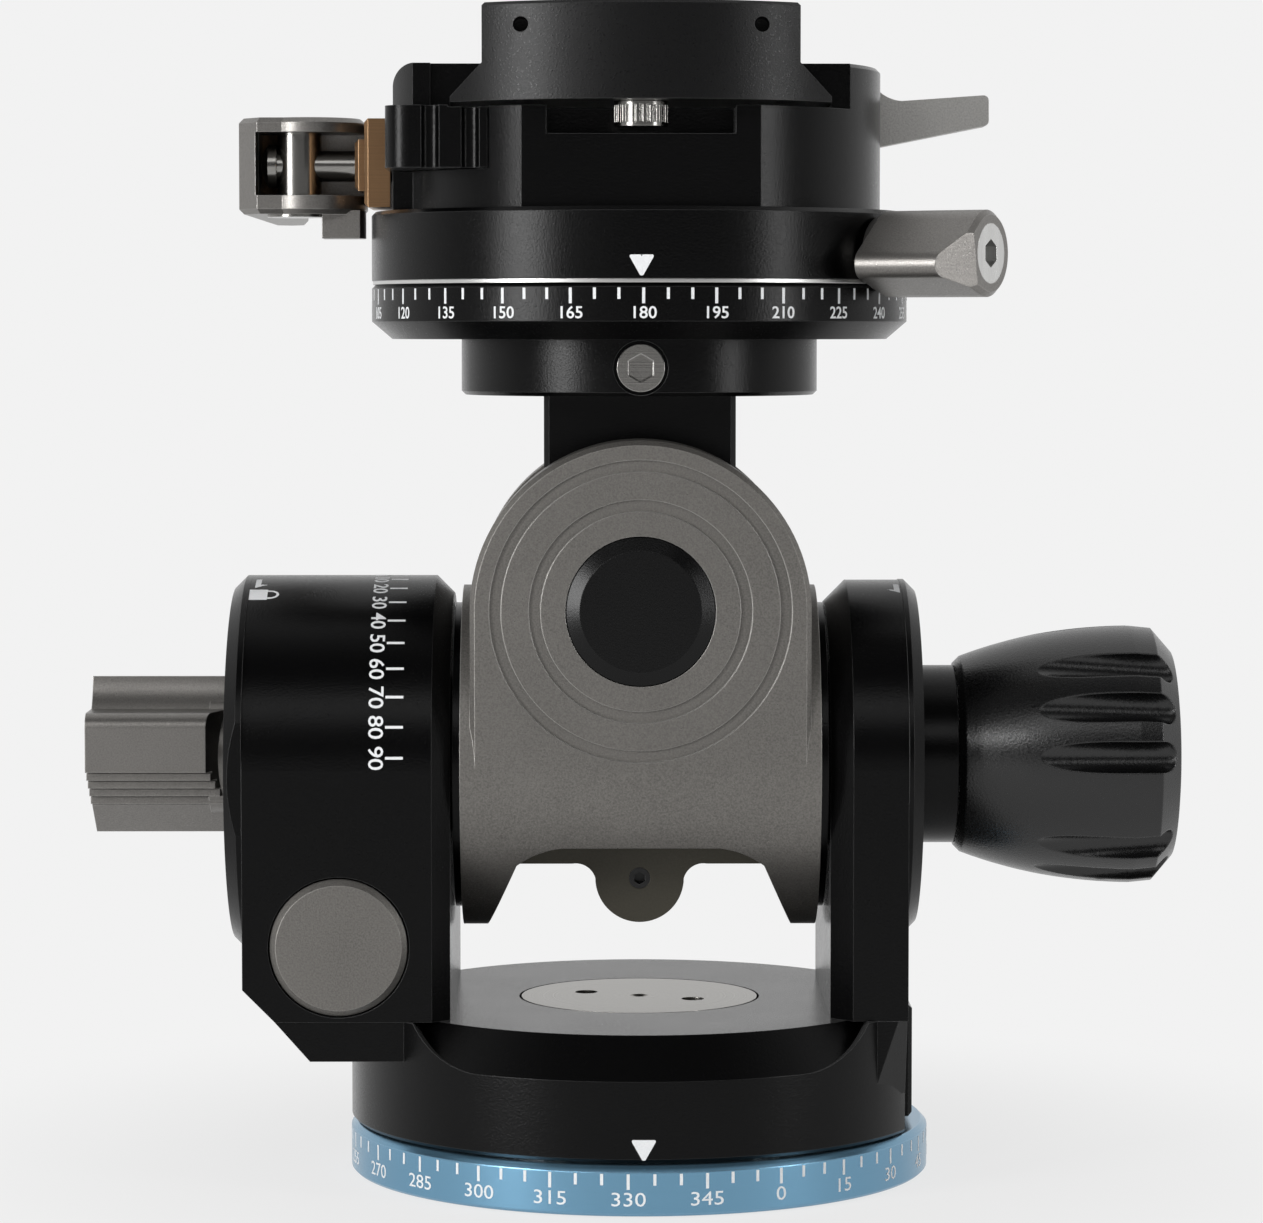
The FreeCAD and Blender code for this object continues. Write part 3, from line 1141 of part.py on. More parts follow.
def roll_flute():
    """One flute of the roll knob, at its top; it deepens towards a round end."""
    start = Vector(ROLL_KNOB_X + ROLL_FLUTE_START, 0.0, TILT_Z + ROLL_FLUTE_START_REACH)
    end = Vector(ROLL_KNOB_X + ROLL_FLUTE_END, 0.0, TILT_Z + ROLL_FLUTE_END_REACH)
    along = end - start
    bar = Part.makeCylinder(ROLL_FLUTE_RADIUS, along.Length, start, along)
    flute = joined(bar, Part.makeSphere(ROLL_FLUTE_RADIUS, end))
    flute.rotate(Vector(0, 0, TILT_Z), AXES["x"], ROLL_FLUTE_TURN)
    return flute


def roll_knob_body():
    """The turned shape of the roll knob."""
    start = ROLL_KNOB_X
    lip_radius = ROLL_KNOB_START_RADIUS + ROLL_KNOB_LIP
    middle = (start + ROLL_KNOB_MIDDLE, ROLL_KNOB_MIDDLE_RADIUS)
    crest = (start + ROLL_KNOB_CREST, ROLL_KNOB_RADIUS)
    brow = start + ROLL_KNOB_BROW
    return turned("x", [(start, 0.0), (start, ROLL_KNOB_START_RADIUS), (start + ROLL_KNOB_LIP, lip_radius),
                        (middle, crest), (start + ROLL_KNOB_SHOULDER, ROLL_KNOB_SHOULDER_RADIUS),
                        (brow, ROLL_KNOB_BROW_RADIUS), dome(brow, ROLL_KNOB_BROW_RADIUS, ROLL_KNOB_DOME)],
                  0.0, TILT_Z)


def roll_knob():
    """The large fluted knob on the right, which drives the roll."""
    flutes = copies_around(roll_flute(), ROLL_FLUTE_STEPS, Vector(0, 0, TILT_Z), AXES["x"])
    kept = [flute for index, flute in enumerate(flutes) if index % ROLL_FLUTE_GROUP != ROLL_FLUTE_BARE]
    bore = rod("x", SHAFT_RADIUS, ROLL_KNOB_X, ROLL_KNOB_X + KNOB_BORE_DEPTH, 0.0, TILT_Z)
    return less(roll_knob_body(), bore, set_screw_blank(ROLL_KNOB_RADIUS), *kept)


def set_screw_blank(outer):
    """The round space of the roll knob's grub screw, on its underside."""
    x = ROLL_KNOB_X + SET_SCREW_OFFSET
    return rod("z", SET_SCREW_RADIUS, TILT_Z - outer, TILT_Z - SHAFT_RADIUS, x, 0.0)


def roll_knob_set_screw():
    """The grub screw that holds the roll knob on its shaft."""
    x = ROLL_KNOB_X + SET_SCREW_OFFSET
    low = TILT_Z - ROLL_KNOB_START_RADIUS
    screw = set_screw_blank(ROLL_KNOB_START_RADIUS)
    shaft = rod("x", SHAFT_RADIUS, ROLL_KNOB_X, ROLL_KNOB_X + KNOB_BORE_DEPTH, 0.0, TILT_Z)
    return less(screw, hexagon("z", SET_SCREW_RADIUS, low, low + SET_SCREW_RADIUS, x, 0.0), shaft)


# ================================================================== rolling neck
def roll_neck():
    """The post that swings in the block and carries the upper stage."""
    half = SLOT_HALF - NECK_SIDE_GAP
    post = slab(-NECK_HALF_WIDTH, NECK_HALF_WIDTH, -half, half, ROLL_Z, COLLAR_Z)
    corners = rod("z", math.hypot(NECK_HALF_WIDTH, half) - EDGE, ROLL_Z, COLLAR_Z)
    hub = rod("y", NECK_HUB_RADIUS, -half, half, 0.0, ROLL_Z)
    spigot = rod("z", NECK_SPIGOT_RADIUS, COLLAR_Z, COLLAR_Z + NECK_SPIGOT_HEIGHT)
    pin = rod("y", ROLL_PIN_RADIUS, -half, half, 0.0, ROLL_Z)
    return less(joined(post.common(corners), hub, spigot), pin)


def roll_axis_pin():
    """The steel pin that the neck swings on."""
    return rod("y", ROLL_PIN_RADIUS, ROLL_CAP_FLOOR + FREE_GAP, ROLL_BACK_FLOOR - TIP_GAP, 0.0, ROLL_Z)


def roll_sector_gear():
    """The toothed sector under the neck's hub."""
    wheel = gear_wheel(ROLL_TEETH, ROLL_SECTOR_WIDTH, ROLL_WORM_RADIUS, NECK_HUB_RADIUS)
    wheel = framed(wheel, Vector(0, 0, -1), AXES["y"], Vector(0.0, 0.0, ROLL_Z))
    turn = math.radians(ROLL_SECTOR_ANGLE)
    wide = BEYOND * math.sin(turn)
    low = ROLL_Z - BEYOND * math.cos(turn)
    far = ROLL_Z - BEYOND
    wedge = prism("y", -ROLL_SECTOR_WIDTH, ROLL_SECTOR_WIDTH,
                  [(0.0, ROLL_Z), (wide, low), (wide, far), (-wide, far), (-wide, low)])
    return wheel.common(wedge)


def neck_collar():
    """The round collar that the upper scale ring sits on."""
    body = rod("z", COLLAR_RADIUS, COLLAR_Z, UPPER_RING_Z)
    body = bevelled(body, EDGE, "z", COLLAR_Z)
    spigot = rod("z", NECK_SPIGOT_RADIUS, COLLAR_Z, COLLAR_Z + NECK_SPIGOT_HEIGHT)
    stem = rod("z", UPPER_STEM_RADIUS, COLLAR_Z + NECK_SPIGOT_HEIGHT, UPPER_RING_Z)
    recess = rod("y", COLLAR_RECESS_RADIUS, -COLLAR_RADIUS, -COLLAR_RADIUS + COLLAR_RECESS_DEPTH, 0.0,
                 collar_screw_z())
    hole = rod("y", COLLAR_SCREW_RADIUS, -COLLAR_RADIUS, -COLLAR_RADIUS + COLLAR_SCREW_LENGTH, 0.0,
               collar_screw_z())
    return less(body, spigot, stem, recess, hole)


def collar_screw_z():
    """The height of the collar's clamp screw."""
    return COLLAR_Z + COLLAR_HEIGHT / 2


def collar_clamp_screw():
    """The socket screw in the front of the collar."""
    seat = -COLLAR_RADIUS + COLLAR_RECESS_DEPTH
    return socket_screw("y", COLLAR_SCREW_RADIUS, COLLAR_SCREW_HEAD, COLLAR_RECESS_DEPTH,
                        -COLLAR_RADIUS + COLLAR_SCREW_LENGTH, seat, COLLAR_HEX_ACROSS, COLLAR_HEX_DEPTH,
                        0.0, collar_screw_z())


def upper_scale_ring():
    """The black ring that carries the upper scale."""
    chamfer_z = UPPER_RING_Z + UPPER_RING_CHAMFER_HEIGHT
    edge_z = UPPER_WASHER_Z - UPPER_RING_TOP_EDGE
    return turned("z", [(UPPER_RING_Z, UPPER_STEM_RADIUS),
                        (UPPER_RING_Z, UPPER_RADIUS - UPPER_RING_CHAMFER_RADIAL),
                        (chamfer_z, UPPER_RADIUS), (edge_z, UPPER_RADIUS),
                        (UPPER_WASHER_Z, UPPER_RADIUS - UPPER_RING_TOP_EDGE),
                        (UPPER_WASHER_Z, UPPER_STEM_RADIUS)])


def upper_pan_spindle():
    """The steel post of the upper pan."""
    flange_top = CLAMP_Z - UPPER_FLANGE_DROP
    flange_low = flange_top - UPPER_FLANGE_THICKNESS
    body = joined(rod("z", UPPER_STEM_RADIUS, COLLAR_Z + NECK_SPIGOT_HEIGHT, flange_low),
                  rod("z", UPPER_FLANGE_RADIUS, flange_low, flange_top))
    return less(body, rod("z", COLLAR_SCREW_RADIUS, flange_low, flange_top))


def upper_pan_washer():
    """The thin bright washer between the upper scale ring and the turning stage."""
    outer = UPPER_RADIUS - UPPER_WASHER_INSET
    return tube("z", outer, outer - UPPER_WASHER_WIDTH, UPPER_WASHER_Z, UPPER_PAN_Z)


# ================================================================== upper pan
def lock_direction():
    """The direction of the upper lock screw, level and away from the axis."""
    turn = math.radians(UPPER_LOCK_ANGLE)
    return Vector(math.cos(turn), math.sin(turn), 0)


def lock_bar(radius, start, end):
    """A round bar along the upper lock screw's axis."""
    along = lock_direction()
    place = along * start + Vector(0, 0, UPPER_PAN_Z + UPPER_LOCK_RISE)
    return Part.makeCylinder(radius, end - start, place, along)


def clamp_screw_places():
    """Where the clamp's screws stand, as (x, y)."""
    return [(x * CLAMP_SCREW_X, y * CLAMP_SCREW_Y) for x in (-1, 1) for y in (-1, 1)]


def upper_pan_body():
    """The turning stage of the upper pan."""
    body = turned("z", [(UPPER_PAN_Z, 0.0), (UPPER_PAN_Z, UPPER_RADIUS), (CLAMP_Z - EDGE, UPPER_RADIUS),
                        (CLAMP_Z, UPPER_RADIUS - EDGE), (CLAMP_Z, 0.0)])
    floor = CLAMP_Z - UPPER_FLANGE_DROP - UPPER_FLANGE_THICKNESS
    bore = rod("z", UPPER_STEM_RADIUS + RUNNING_FIT, UPPER_PAN_Z, CLAMP_Z)
    counterbore = rod("z", UPPER_FLANGE_RADIUS + SCREW_FIT, floor, CLAMP_Z)
    lock = lock_bar(UPPER_LOCK_SCREW + RUNNING_FIT, UPPER_STEM_RADIUS, UPPER_RADIUS + EDGE)
    screws = [rod("z", CLAMP_SCREW_RADIUS, CLAMP_Z - CLAMP_SCREW_BITE, CLAMP_Z, *place)
              for place in clamp_screw_places()]
    return less(body, bore, counterbore, lock, *screws)


def lever_frame(shape):
    """A lock lever part made about Z, set on the upper lock screw's axis; its X lies forward."""
    along = lock_direction()
    forward = Vector(along.y, -along.x, 0)
    place = Vector(0, 0, UPPER_PAN_Z + UPPER_LOCK_RISE)
    return framed(shape, forward, along, place)


def lock_lever_blade(start, end):
    """The lock lever's drop shape: a round hub, a small round tip and a face that slants back."""
    reach = LOCK_LEVER_APEX - LOCK_LEVER_TIP
    turn = math.acos((LOCK_LEVER_HUB - LOCK_LEVER_TIP) / reach)
    across = Vector(math.cos(turn), math.sin(turn), 0)
    hub = across * LOCK_LEVER_HUB
    tip = across * LOCK_LEVER_TIP + Vector(reach, 0, 0)
    blade = prism("z", start, end,
                  [(tip.x, -tip.y), ((LOCK_LEVER_APEX, 0.0), (tip.x, tip.y)), (hub.x, hub.y),
                   ((-LOCK_LEVER_HUB, 0.0), (hub.x, -hub.y))])
    blade = bevelled(blade, LOCK_LEVER_EDGE, "z", end)
    land = LOCK_CAP_RADIUS + EDGE
    far = LOCK_LEVER_APEX + EDGE
    low = end - LOCK_LEVER_SLANT * (far - land) / (LOCK_LEVER_APEX - land)
    slant = prism("y", -BEYOND, BEYOND, [(land, end), (far, low), (far, end + EDGE), (land, end + EDGE)])
    blade = blade.cut(slant)
    blade.rotate(Vector(0, 0, 0), UP, LOCK_LEVER_DIP)
    return blade


def lock_head(end):
    """The countersunk head of the lock lever's screw."""
    low = end - LOCK_CAP_HEIGHT
    return turned("z", [(low, 0.0), (low, LOCK_CAP_RADIUS - LOCK_CAP_CONE), (end, LOCK_CAP_RADIUS),
                        (end, 0.0)])


def upper_pan_lock_lever():
    """The small wedge lever of the upper pan lock."""
    start = UPPER_RADIUS + FREE_GAP
    grip = start + LOCK_LEVER_STEM
    end = grip + LOCK_LEVER_LENGTH
    stem = turned("z", [(start, 0.0), (start, LOCK_LEVER_ROOT), (grip, LOCK_LEVER_HUB), (grip, 0.0)])
    bore = rod("z", UPPER_LOCK_SCREW, start, end)
    return lever_frame(less(joined(lock_lever_blade(grip, end), stem), lock_head(end), bore))


def upper_pan_lock_screw():
    """The countersunk socket screw through the lock lever."""
    end = UPPER_RADIUS + FREE_GAP + LOCK_LEVER_STEM + LOCK_LEVER_LENGTH
    shank = rod("z", UPPER_LOCK_SCREW, UPPER_FLANGE_RADIUS + TIP_GAP, end - LOCK_CAP_HEIGHT / 2)
    socket = hexagon("z", COLLAR_HEX_ACROSS, end - LOCK_CAP_HEIGHT, end)
    return lever_frame(less(joined(lock_head(end), shank), socket))


# ================================================================== clamp
def clamp_plan(z_low, z_high):
    """The clamp's plan: a disc with flat ends."""
    disc = rod("z", CLAMP_RADIUS, z_low, z_high)
    return disc.common(slab(-BEYOND, BEYOND, -CLAMP_HALF_DEPTH, CLAMP_HALF_DEPTH, z_low, z_high))


def clamp_nose():
    """The end of the base that reaches out under the moving jaw."""
    return slab(NOSE_X, CLAMP_LEDGE_X, -NOSE_HALF_DEPTH, NOSE_HALF_DEPTH, CLAMP_Z, LEDGE_Z)


def dovetail_space(side):
    """The room that a jaw leaves for the plate's foot, as an outline in x and z."""
    slope = PLATE_FOOT_HALF + PLATE_Z + PLATE_FOOT_HEIGHT + SLIDE_FIT * math.sqrt(2)
    deep = PLATE_FOOT_HALF + DOVETAIL_GAP
    mouth = PLATE_HALF_WIDTH + DOVETAIL_GAP
    floor = CLAMP_TOP - SLIDE_FIT
    past = JAW_TOP + EDGE
    steps = [(0.0, floor), (deep, floor), (deep, slope - deep), (mouth, slope - mouth), (mouth, past),
             (0.0, past)]
    return [(side * x, z) for x, z in steps]


def fixed_jaw():
    """The right jaw, in one piece with the clamp's base."""
    outer = rod("z", CLAMP_RADIUS, CLAMP_TOP - EDGE, JAW_TOP)
    outer = bevelled(outer, EDGE, "z", JAW_TOP)
    wall = outer.common(slab(JAW_LIP_X, BEYOND, -BEYOND, BEYOND, CLAMP_Z, JAW_TOP))
    lip = slab(PLATE_HALF_WIDTH, JAW_LIP_X, -JAW_LIP_HALF, JAW_LIP_HALF, CLAMP_TOP - EDGE, JAW_TOP)
    return joined(wall, lip)


def end_recesses():
    """The two recesses for the plate's stop screws."""
    low = CLAMP_TOP - END_RECESS_HEIGHT
    return [slab(-END_RECESS_HALF, END_RECESS_HALF, min(side * END_RECESS_Y, side * BEYOND),
                 max(side * END_RECESS_Y, side * BEYOND), low, CLAMP_TOP + EDGE) for side in (-1, 1)]


def release_slot():
    """The space in the fixed jaw for the release lever's root."""
    low = CLAMP_TOP - RELEASE_ROOT_DROP - SLIDE_FIT
    high = low + RELEASE_ROOT_HEIGHT + 2 * SLIDE_FIT
    pocket = rod("z", RELEASE_HUB_RADIUS + FREE_GAP, low, high, RELEASE_PIVOT_X, RELEASE_Y)
    half = RELEASE_THICKNESS / 2 + FREE_GAP
    way = slab(0.0, BEYOND / 2, -half, half, low, high)
    ways = []
    for share in (0.0, 0.5, 1.0):
        turned_way = way.copy()
        turned_way.rotate(Vector(0, 0, 0), UP, share * (RELEASE_SWING + RELEASE_SPARE))
        turned_way.translate(Vector(RELEASE_PIVOT_X, RELEASE_Y, 0))
        ways.append(turned_way)
    return pocket.fuse(ways)


def guide_pin_bores(radius):
    """The two bores along X for the moving jaw's guide pins."""
    low = CLAMP_LEDGE_X - GUIDE_PIN_HOLD
    return [rod("x", radius, low, low + GUIDE_PIN_LENGTH, side * GUIDE_PIN_Y, guide_pin_z())
            for side in (-1, 1)]


def guide_pin_z():
    """The height of the guide pins."""
    return (LEDGE_Z + CLAMP_TOP) / 2


def clamp_base():
    """The clamp's base plate with the fixed jaw."""
    body = joined(clamp_plan(CLAMP_Z, CLAMP_TOP), clamp_nose(), fixed_jaw())
    ledge = slab(-BEYOND, CLAMP_LEDGE_X, -BEYOND, BEYOND, LEDGE_Z, JAW_TOP)
    dovetail = prism("y", -BEYOND, BEYOND, dovetail_space(1))
    dovetail = dovetail.cut(slab(-BEYOND, BEYOND, -BEYOND, BEYOND, 0.0, CLAMP_TOP))
    rod_bore = rod("x", ROD_RADIUS, -BEYOND, ROD_END_X, 0.0, ROD_Z)
    pin = rod("z", RELEASE_PIN_RADIUS, CLAMP_TOP - RELEASE_ROOT_DROP - RELEASE_PIN_BELOW, JAW_TOP,
              RELEASE_PIVOT_X, RELEASE_Y)
    screws = [rod("z", CLAMP_SCREW_RADIUS + SCREW_FIT, CLAMP_Z, CLAMP_TOP, *place)
              for place in clamp_screw_places()]
    seat = CLAMP_TOP - CLAMP_SCREW_HEAD_HEIGHT
    heads = [rod("z", CLAMP_SCREW_HEAD + SCREW_FIT, seat, CLAMP_TOP, *place)
             for place in clamp_screw_places()]
    return less(body, ledge, dovetail, rod_bore, pin, release_slot(), *end_recesses(), *screws, *heads,
                *guide_pin_bores(GUIDE_PIN_RADIUS + RUNNING_FIT))


def clamp_screws():
    """Four socket screws that hold the clamp on the upper stage."""
    seat = CLAMP_TOP - CLAMP_SCREW_HEAD_HEIGHT
    return [socket_screw("z", CLAMP_SCREW_RADIUS, CLAMP_SCREW_HEAD, CLAMP_SCREW_HEAD_HEIGHT,
                         CLAMP_Z - CLAMP_SCREW_BITE, seat, CLAMP_SCREW_HEAD,
                         CLAMP_SCREW_HEAD_HEIGHT / 2, *place)
            for place in clamp_screw_places()]


def jaw_skirt():
    """The lower part of the moving jaw, grooved at its front and back to grip it by."""
    low = LEDGE_Z + SLIDE_FIT
    high = CLAMP_TOP + SLIDE_FIT
    end = CLAMP_LEDGE_X - SLIDE_FIT
    inner = SKIRT_HALF_DEPTH - SKIRT_CORNER
    turn = SKIRT_CORNER * (1 - math.sqrt(0.5))
    half = [(end, -SKIRT_HALF_DEPTH), (SKIRT_FLAT_X + SKIRT_CORNER, -SKIRT_HALF_DEPTH),
            ((SKIRT_FLAT_X + turn, -SKIRT_HALF_DEPTH + turn), (SKIRT_FLAT_X, -inner)),
            (SKIRT_FLAT_X, inner),
            ((SKIRT_FLAT_X + turn, SKIRT_HALF_DEPTH - turn),
             (SKIRT_FLAT_X + SKIRT_CORNER, SKIRT_HALF_DEPTH)),
            (end, SKIRT_HALF_DEPTH)]
    grooves = [rod("z", SCALLOP_RADIUS, low, high, SKIRT_FLAT_X + step, side * SKIRT_HALF_DEPTH)
               for step in SCALLOP_STEPS for side in (-1, 1)]
    return less(prism("z", low, high, half), *grooves)


def jaw_hook():
    """The upper part of the moving jaw, which holds the plate's foot."""
    low = CLAMP_TOP + SLIDE_FIT - EDGE
    turn = HOOK_CORNER * (1 - math.sqrt(0.5))
    band = prism("y", -BEYOND, BEYOND,
                 [(HOOK_X, low), (HOOK_X, JAW_TOP - HOOK_CORNER),
                  ((HOOK_X + turn, JAW_TOP - turn), (HOOK_X + HOOK_CORNER, JAW_TOP)), (0.0, JAW_TOP),
                  (0.0, low)])
    half = JAW_LIP_HALF + FACET_DEPTH
    wall = slab(-BEYOND, -JAW_LIP_X, -half, half, low, JAW_TOP)
    lip = slab(-JAW_LIP_X, -PLATE_HALF_WIDTH, -JAW_LIP_HALF, JAW_LIP_HALF, low, JAW_TOP)
    return band.common(rod("z", HOOK_RADIUS, low, JAW_TOP)).common(wall.fuse(lip))


def moving_jaw():
    """The left jaw, which slides to let the plate go."""
    body = joined(jaw_skirt(), jaw_hook())
    dovetail = prism("y", -BEYOND, BEYOND, dovetail_space(-1))
    rod_bore = rod("x", ROD_RADIUS + FREE_GAP, -BEYOND, 0.0, 0.0, ROD_Z)
    return less(body, dovetail, rod_bore, *guide_pin_bores(GUIDE_PIN_RADIUS))


def jaw_guide_pins():
    """The two steel pins that guide the moving jaw."""
    return guide_pin_bores(GUIDE_PIN_RADIUS)


def cam_plate_x():
    """The outer face of the bronze plate, which the cam bears on."""
    return SKIRT_FLAT_X - CAM_PLATE_THICKNESS


def cam_plate():
    """The bronze plate that the cam presses on, with its raised pad."""
    low = CLAMP_Z + CAM_PLATE_LIFT
    plate = slab(cam_plate_x(), SKIRT_FLAT_X, -CAM_PLATE_HALF, CAM_PLATE_HALF, low,
                 low + CAM_PLATE_HEIGHT)
    plate = bevelled(plate, EDGE, "x", cam_plate_x())
    pad_low = ROD_Z - CAM_PAD_HEIGHT / 2
    pad = slab(cam_plate_x() - CAM_PAD_THICKNESS, cam_plate_x(), -CAM_PAD_HALF, CAM_PAD_HALF,
               pad_low, pad_low + CAM_PAD_HEIGHT)
    pad = bevelled(pad, EDGE, "x", cam_plate_x() - CAM_PAD_THICKNESS)
    return less(joined(plate, pad), rod("x", ROD_RADIUS + FREE_GAP, -BEYOND, 0.0, 0.0, ROD_Z))


def pull_rod():
    """The steel rod that the cam lever pulls on."""
    head_x = LEVER_PIN_X - LEVER_PIN_BARREL
    shank = rod("x", ROD_RADIUS, head_x, ROD_END_X, 0.0, ROD_Z)
    brim_x = head_x - ROD_HEAD_LENGTH
    head = turned("x", [(head_x, 0.0), (head_x, ROD_HEAD_RADIUS), (brim_x, ROD_HEAD_RADIUS),
                        dome(brim_x, ROD_HEAD_RADIUS, -ROD_HEAD_DOME)], 0.0, ROD_Z)
    return joined(shank, head)


# ================================================================== cam lever
def lever_low():
    """The underside of the cam lever."""
    return CLAMP_Z - LEVER_BOTTOM_DROP


def lever_pin():
    """The pin that the cam lever turns on, with a cross hole for the rod."""
    low = lever_low()
    high = low + LEVER_HEIGHT
    foot = low - LEVER_PIN_PROUD
    body = joined(rod("z", LEVER_PIN_BARREL, low, high, LEVER_PIN_X, 0.0),
                  rod("z", LEVER_PIN_HEAD, foot, low + LEVER_PIN_HEAD_HEIGHT, LEVER_PIN_X, 0.0),
                  rod("z", LEVER_PIN_HEAD, high - LEVER_PIN_HEAD_HEIGHT, high, LEVER_PIN_X, 0.0))
    flat = slab(LEVER_PIN_X - BEYOND, LEVER_PIN_X - LEVER_PIN_BARREL + EDGE, -BEYOND, BEYOND,
                ROD_Z - ROD_HEAD_RADIUS, ROD_Z + ROD_HEAD_RADIUS)
    return less(body, rod("x", ROD_RADIUS, -BEYOND, 0.0, 0.0, ROD_Z), flat.common(pull_rod()))


def cam_outline():
    """The cam's curved side, from its lowest radius to the corner that holds the clamp shut."""
    peak = math.degrees(math.atan(math.degrees(CAM_RISE) / CAM_RADIUS))
    steps = []
    for index in range(CAM_STEPS + 1):
        angle = CAM_LOW_ANGLE + (peak - CAM_LOW_ANGLE) * index / CAM_STEPS
        radius = CAM_RADIUS + CAM_RISE * angle
        turn = math.radians(angle)
        steps.append(Vector(radius * math.cos(turn), radius * math.sin(turn), 0))
    return steps


def lever_plan():
    """The cam lever's plan about its pin: a cam in front, a handle to the back."""
    curve = Part.BSplineCurve()
    curve.interpolate(cam_outline())
    cam_start = cam_outline()[0]
    cam_end = cam_outline()[-1]
    left = -LEVER_LEFT
    tip_y = HANDLE_LENGTH - HANDLE_TIP_WIDTH / 2
    corners = [cam_end,
               Vector(cam_end.x, HANDLE_BEND_Y / 2, 0),
               Vector(left + HANDLE_BEND_WIDTH, HANDLE_BEND_Y, 0),
               Vector(left + HANDLE_TIP_WIDTH, tip_y, 0),
               Vector(left + HANDLE_TIP_WIDTH / 2, HANDLE_LENGTH, 0),
               Vector(left, tip_y, 0),
               Vector(left, cam_start.y + LEVER_LEFT / 2, 0),
               Vector(left + LEVER_LEFT / 3, cam_start.y, 0),
               cam_start]
    edges = [curve.toShape()]
    for first, second in zip(corners, corners[1:]):
        edges.append(Part.LineSegment(first, second).toShape())
    return Part.Face(Part.Wire(edges))


def cam_lever():
    """The cam lever that closes the clamp."""
    low = lever_low()
    high = low + LEVER_HEIGHT
    plan = lever_plan()
    plan.translate(Vector(LEVER_PIN_X, 0, low))
    body = plan.extrude(UP * LEVER_HEIGHT)
    body = bevelled(bevelled(body, LEVER_EDGE, "z", high), LEVER_EDGE, "z", low)
    slot_low = low + LEVER_BOTTOM_PLATE
    slot_high = high - LEVER_TOP_PLATE
    front = slab(LEVER_PIN_X - LEVER_LEFT + LEVER_WALL, 0.0, -BEYOND, 0.0, slot_low, slot_high)
    side = slab(LEVER_PIN_X, 0.0, -BEYOND, CAM_PAD_HALF + FREE_GAP, slot_low, slot_high)
    pocket = rod("z", LEVER_POCKET, slot_low, slot_high, LEVER_PIN_X, 0.0)
    pin = rod("z", LEVER_PIN_BARREL + RUNNING_FIT, low, high, LEVER_PIN_X, 0.0)
    head = LEVER_PIN_HEAD + RUNNING_FIT
    heads = [rod("z", head, low - LEVER_PIN_PROUD - SLIDE_FIT, low + LEVER_PIN_HEAD_HEIGHT + SLIDE_FIT,
                 LEVER_PIN_X, 0.0),
             rod("z", head, high - LEVER_PIN_HEAD_HEIGHT - SLIDE_FIT, high, LEVER_PIN_X, 0.0)]
    tab = slab(LEVER_PIN_X + TAB_LEFT, LEVER_PIN_X + TAB_RIGHT, -TAB_HALF_DEPTH, TAB_HALF_DEPTH,
               low - TAB_DROP, low + EDGE)
    tab = tab.common(rod("z", TAB_RIGHT, low - TAB_DROP, low + EDGE, LEVER_PIN_X, 0.0))
    return less(joined(body, tab), front, side, pocket, pin, *heads)


# ================================================================== release lever
def release_lever():
    """The grey blade on the right."""
    low = CLAMP_TOP - RELEASE_ROOT_DROP
    high = low + RELEASE_ROOT_HEIGHT
    tip_low = low + RELEASE_TIP_RISE
    tip_high = tip_low + RELEASE_TIP_HEIGHT
    neck = tip_high - RELEASE_NECK_DROP
    half = RELEASE_THICKNESS / 2
    shoulder = RELEASE_TIP_X - RELEASE_TIP_CORNER
    turn = RELEASE_TIP_CORNER * (1 - math.sqrt(0.5))
    bend = ((RELEASE_NECK_X + CLAMP_RADIUS) / 2 - EDGE / 2, (high + neck) / 2 - EDGE / 2)
    blade = prism("y", RELEASE_Y - half, RELEASE_Y + half,
                  [(RELEASE_PIVOT_X, low), (shoulder, tip_low),
                   ((RELEASE_TIP_X - turn, tip_low + turn),
                    (RELEASE_TIP_X, tip_low + RELEASE_TIP_CORNER)),
                   (RELEASE_TIP_X, tip_high - RELEASE_TIP_CORNER),
                   ((RELEASE_TIP_X - turn, tip_high - turn), (shoulder, tip_high)),
                   (RELEASE_NECK_X, neck), (bend, (CLAMP_RADIUS, high)), (RELEASE_PIVOT_X, high)])
    hub = rod("z", RELEASE_HUB_RADIUS, low, high, RELEASE_PIVOT_X, RELEASE_Y)
    bore = rod("z", RELEASE_PIN_RADIUS + RUNNING_FIT, low, high, RELEASE_PIVOT_X, RELEASE_Y)
    return less(joined(blade, hub), bore)


def release_lever_pin():
    """The pin of the release lever."""
    return rod("z", RELEASE_PIN_RADIUS, CLAMP_TOP - RELEASE_ROOT_DROP - RELEASE_PIN_BELOW, JAW_TOP,
               RELEASE_PIVOT_X, RELEASE_Y)


# ================================================================== camera plate
def plate_blank():
    """The plate's dovetail bar with rounded ends."""
    foot_top = PLATE_Z + PLATE_FOOT_HEIGHT
    neck_z = foot_top + PLATE_FOOT_HALF - PLATE_HALF_WIDTH
    outline = [(-PLATE_FOOT_HALF, PLATE_Z), (PLATE_FOOT_HALF, PLATE_Z), (PLATE_FOOT_HALF, foot_top),
               (PLATE_HALF_WIDTH, neck_z), (PLATE_HALF_WIDTH, PLATE_TOP), (-PLATE_HALF_WIDTH, PLATE_TOP),
               (-PLATE_HALF_WIDTH, neck_z), (-PLATE_FOOT_HALF, foot_top)]
    bar = prism("y", -BEYOND, BEYOND, outline)
    ends = rod("z", PLATE_END_RADIUS, PLATE_Z, PLATE_TOP)
    return bevelled(bar.common(ends), PLATE_EDGE, "z", PLATE_TOP)


def plate_pad_spans():
    """The two pads' spans across the plate."""
    return [(-PAD_OUTER, -PAD_INNER), (PAD_INNER, PAD_OUTER)]


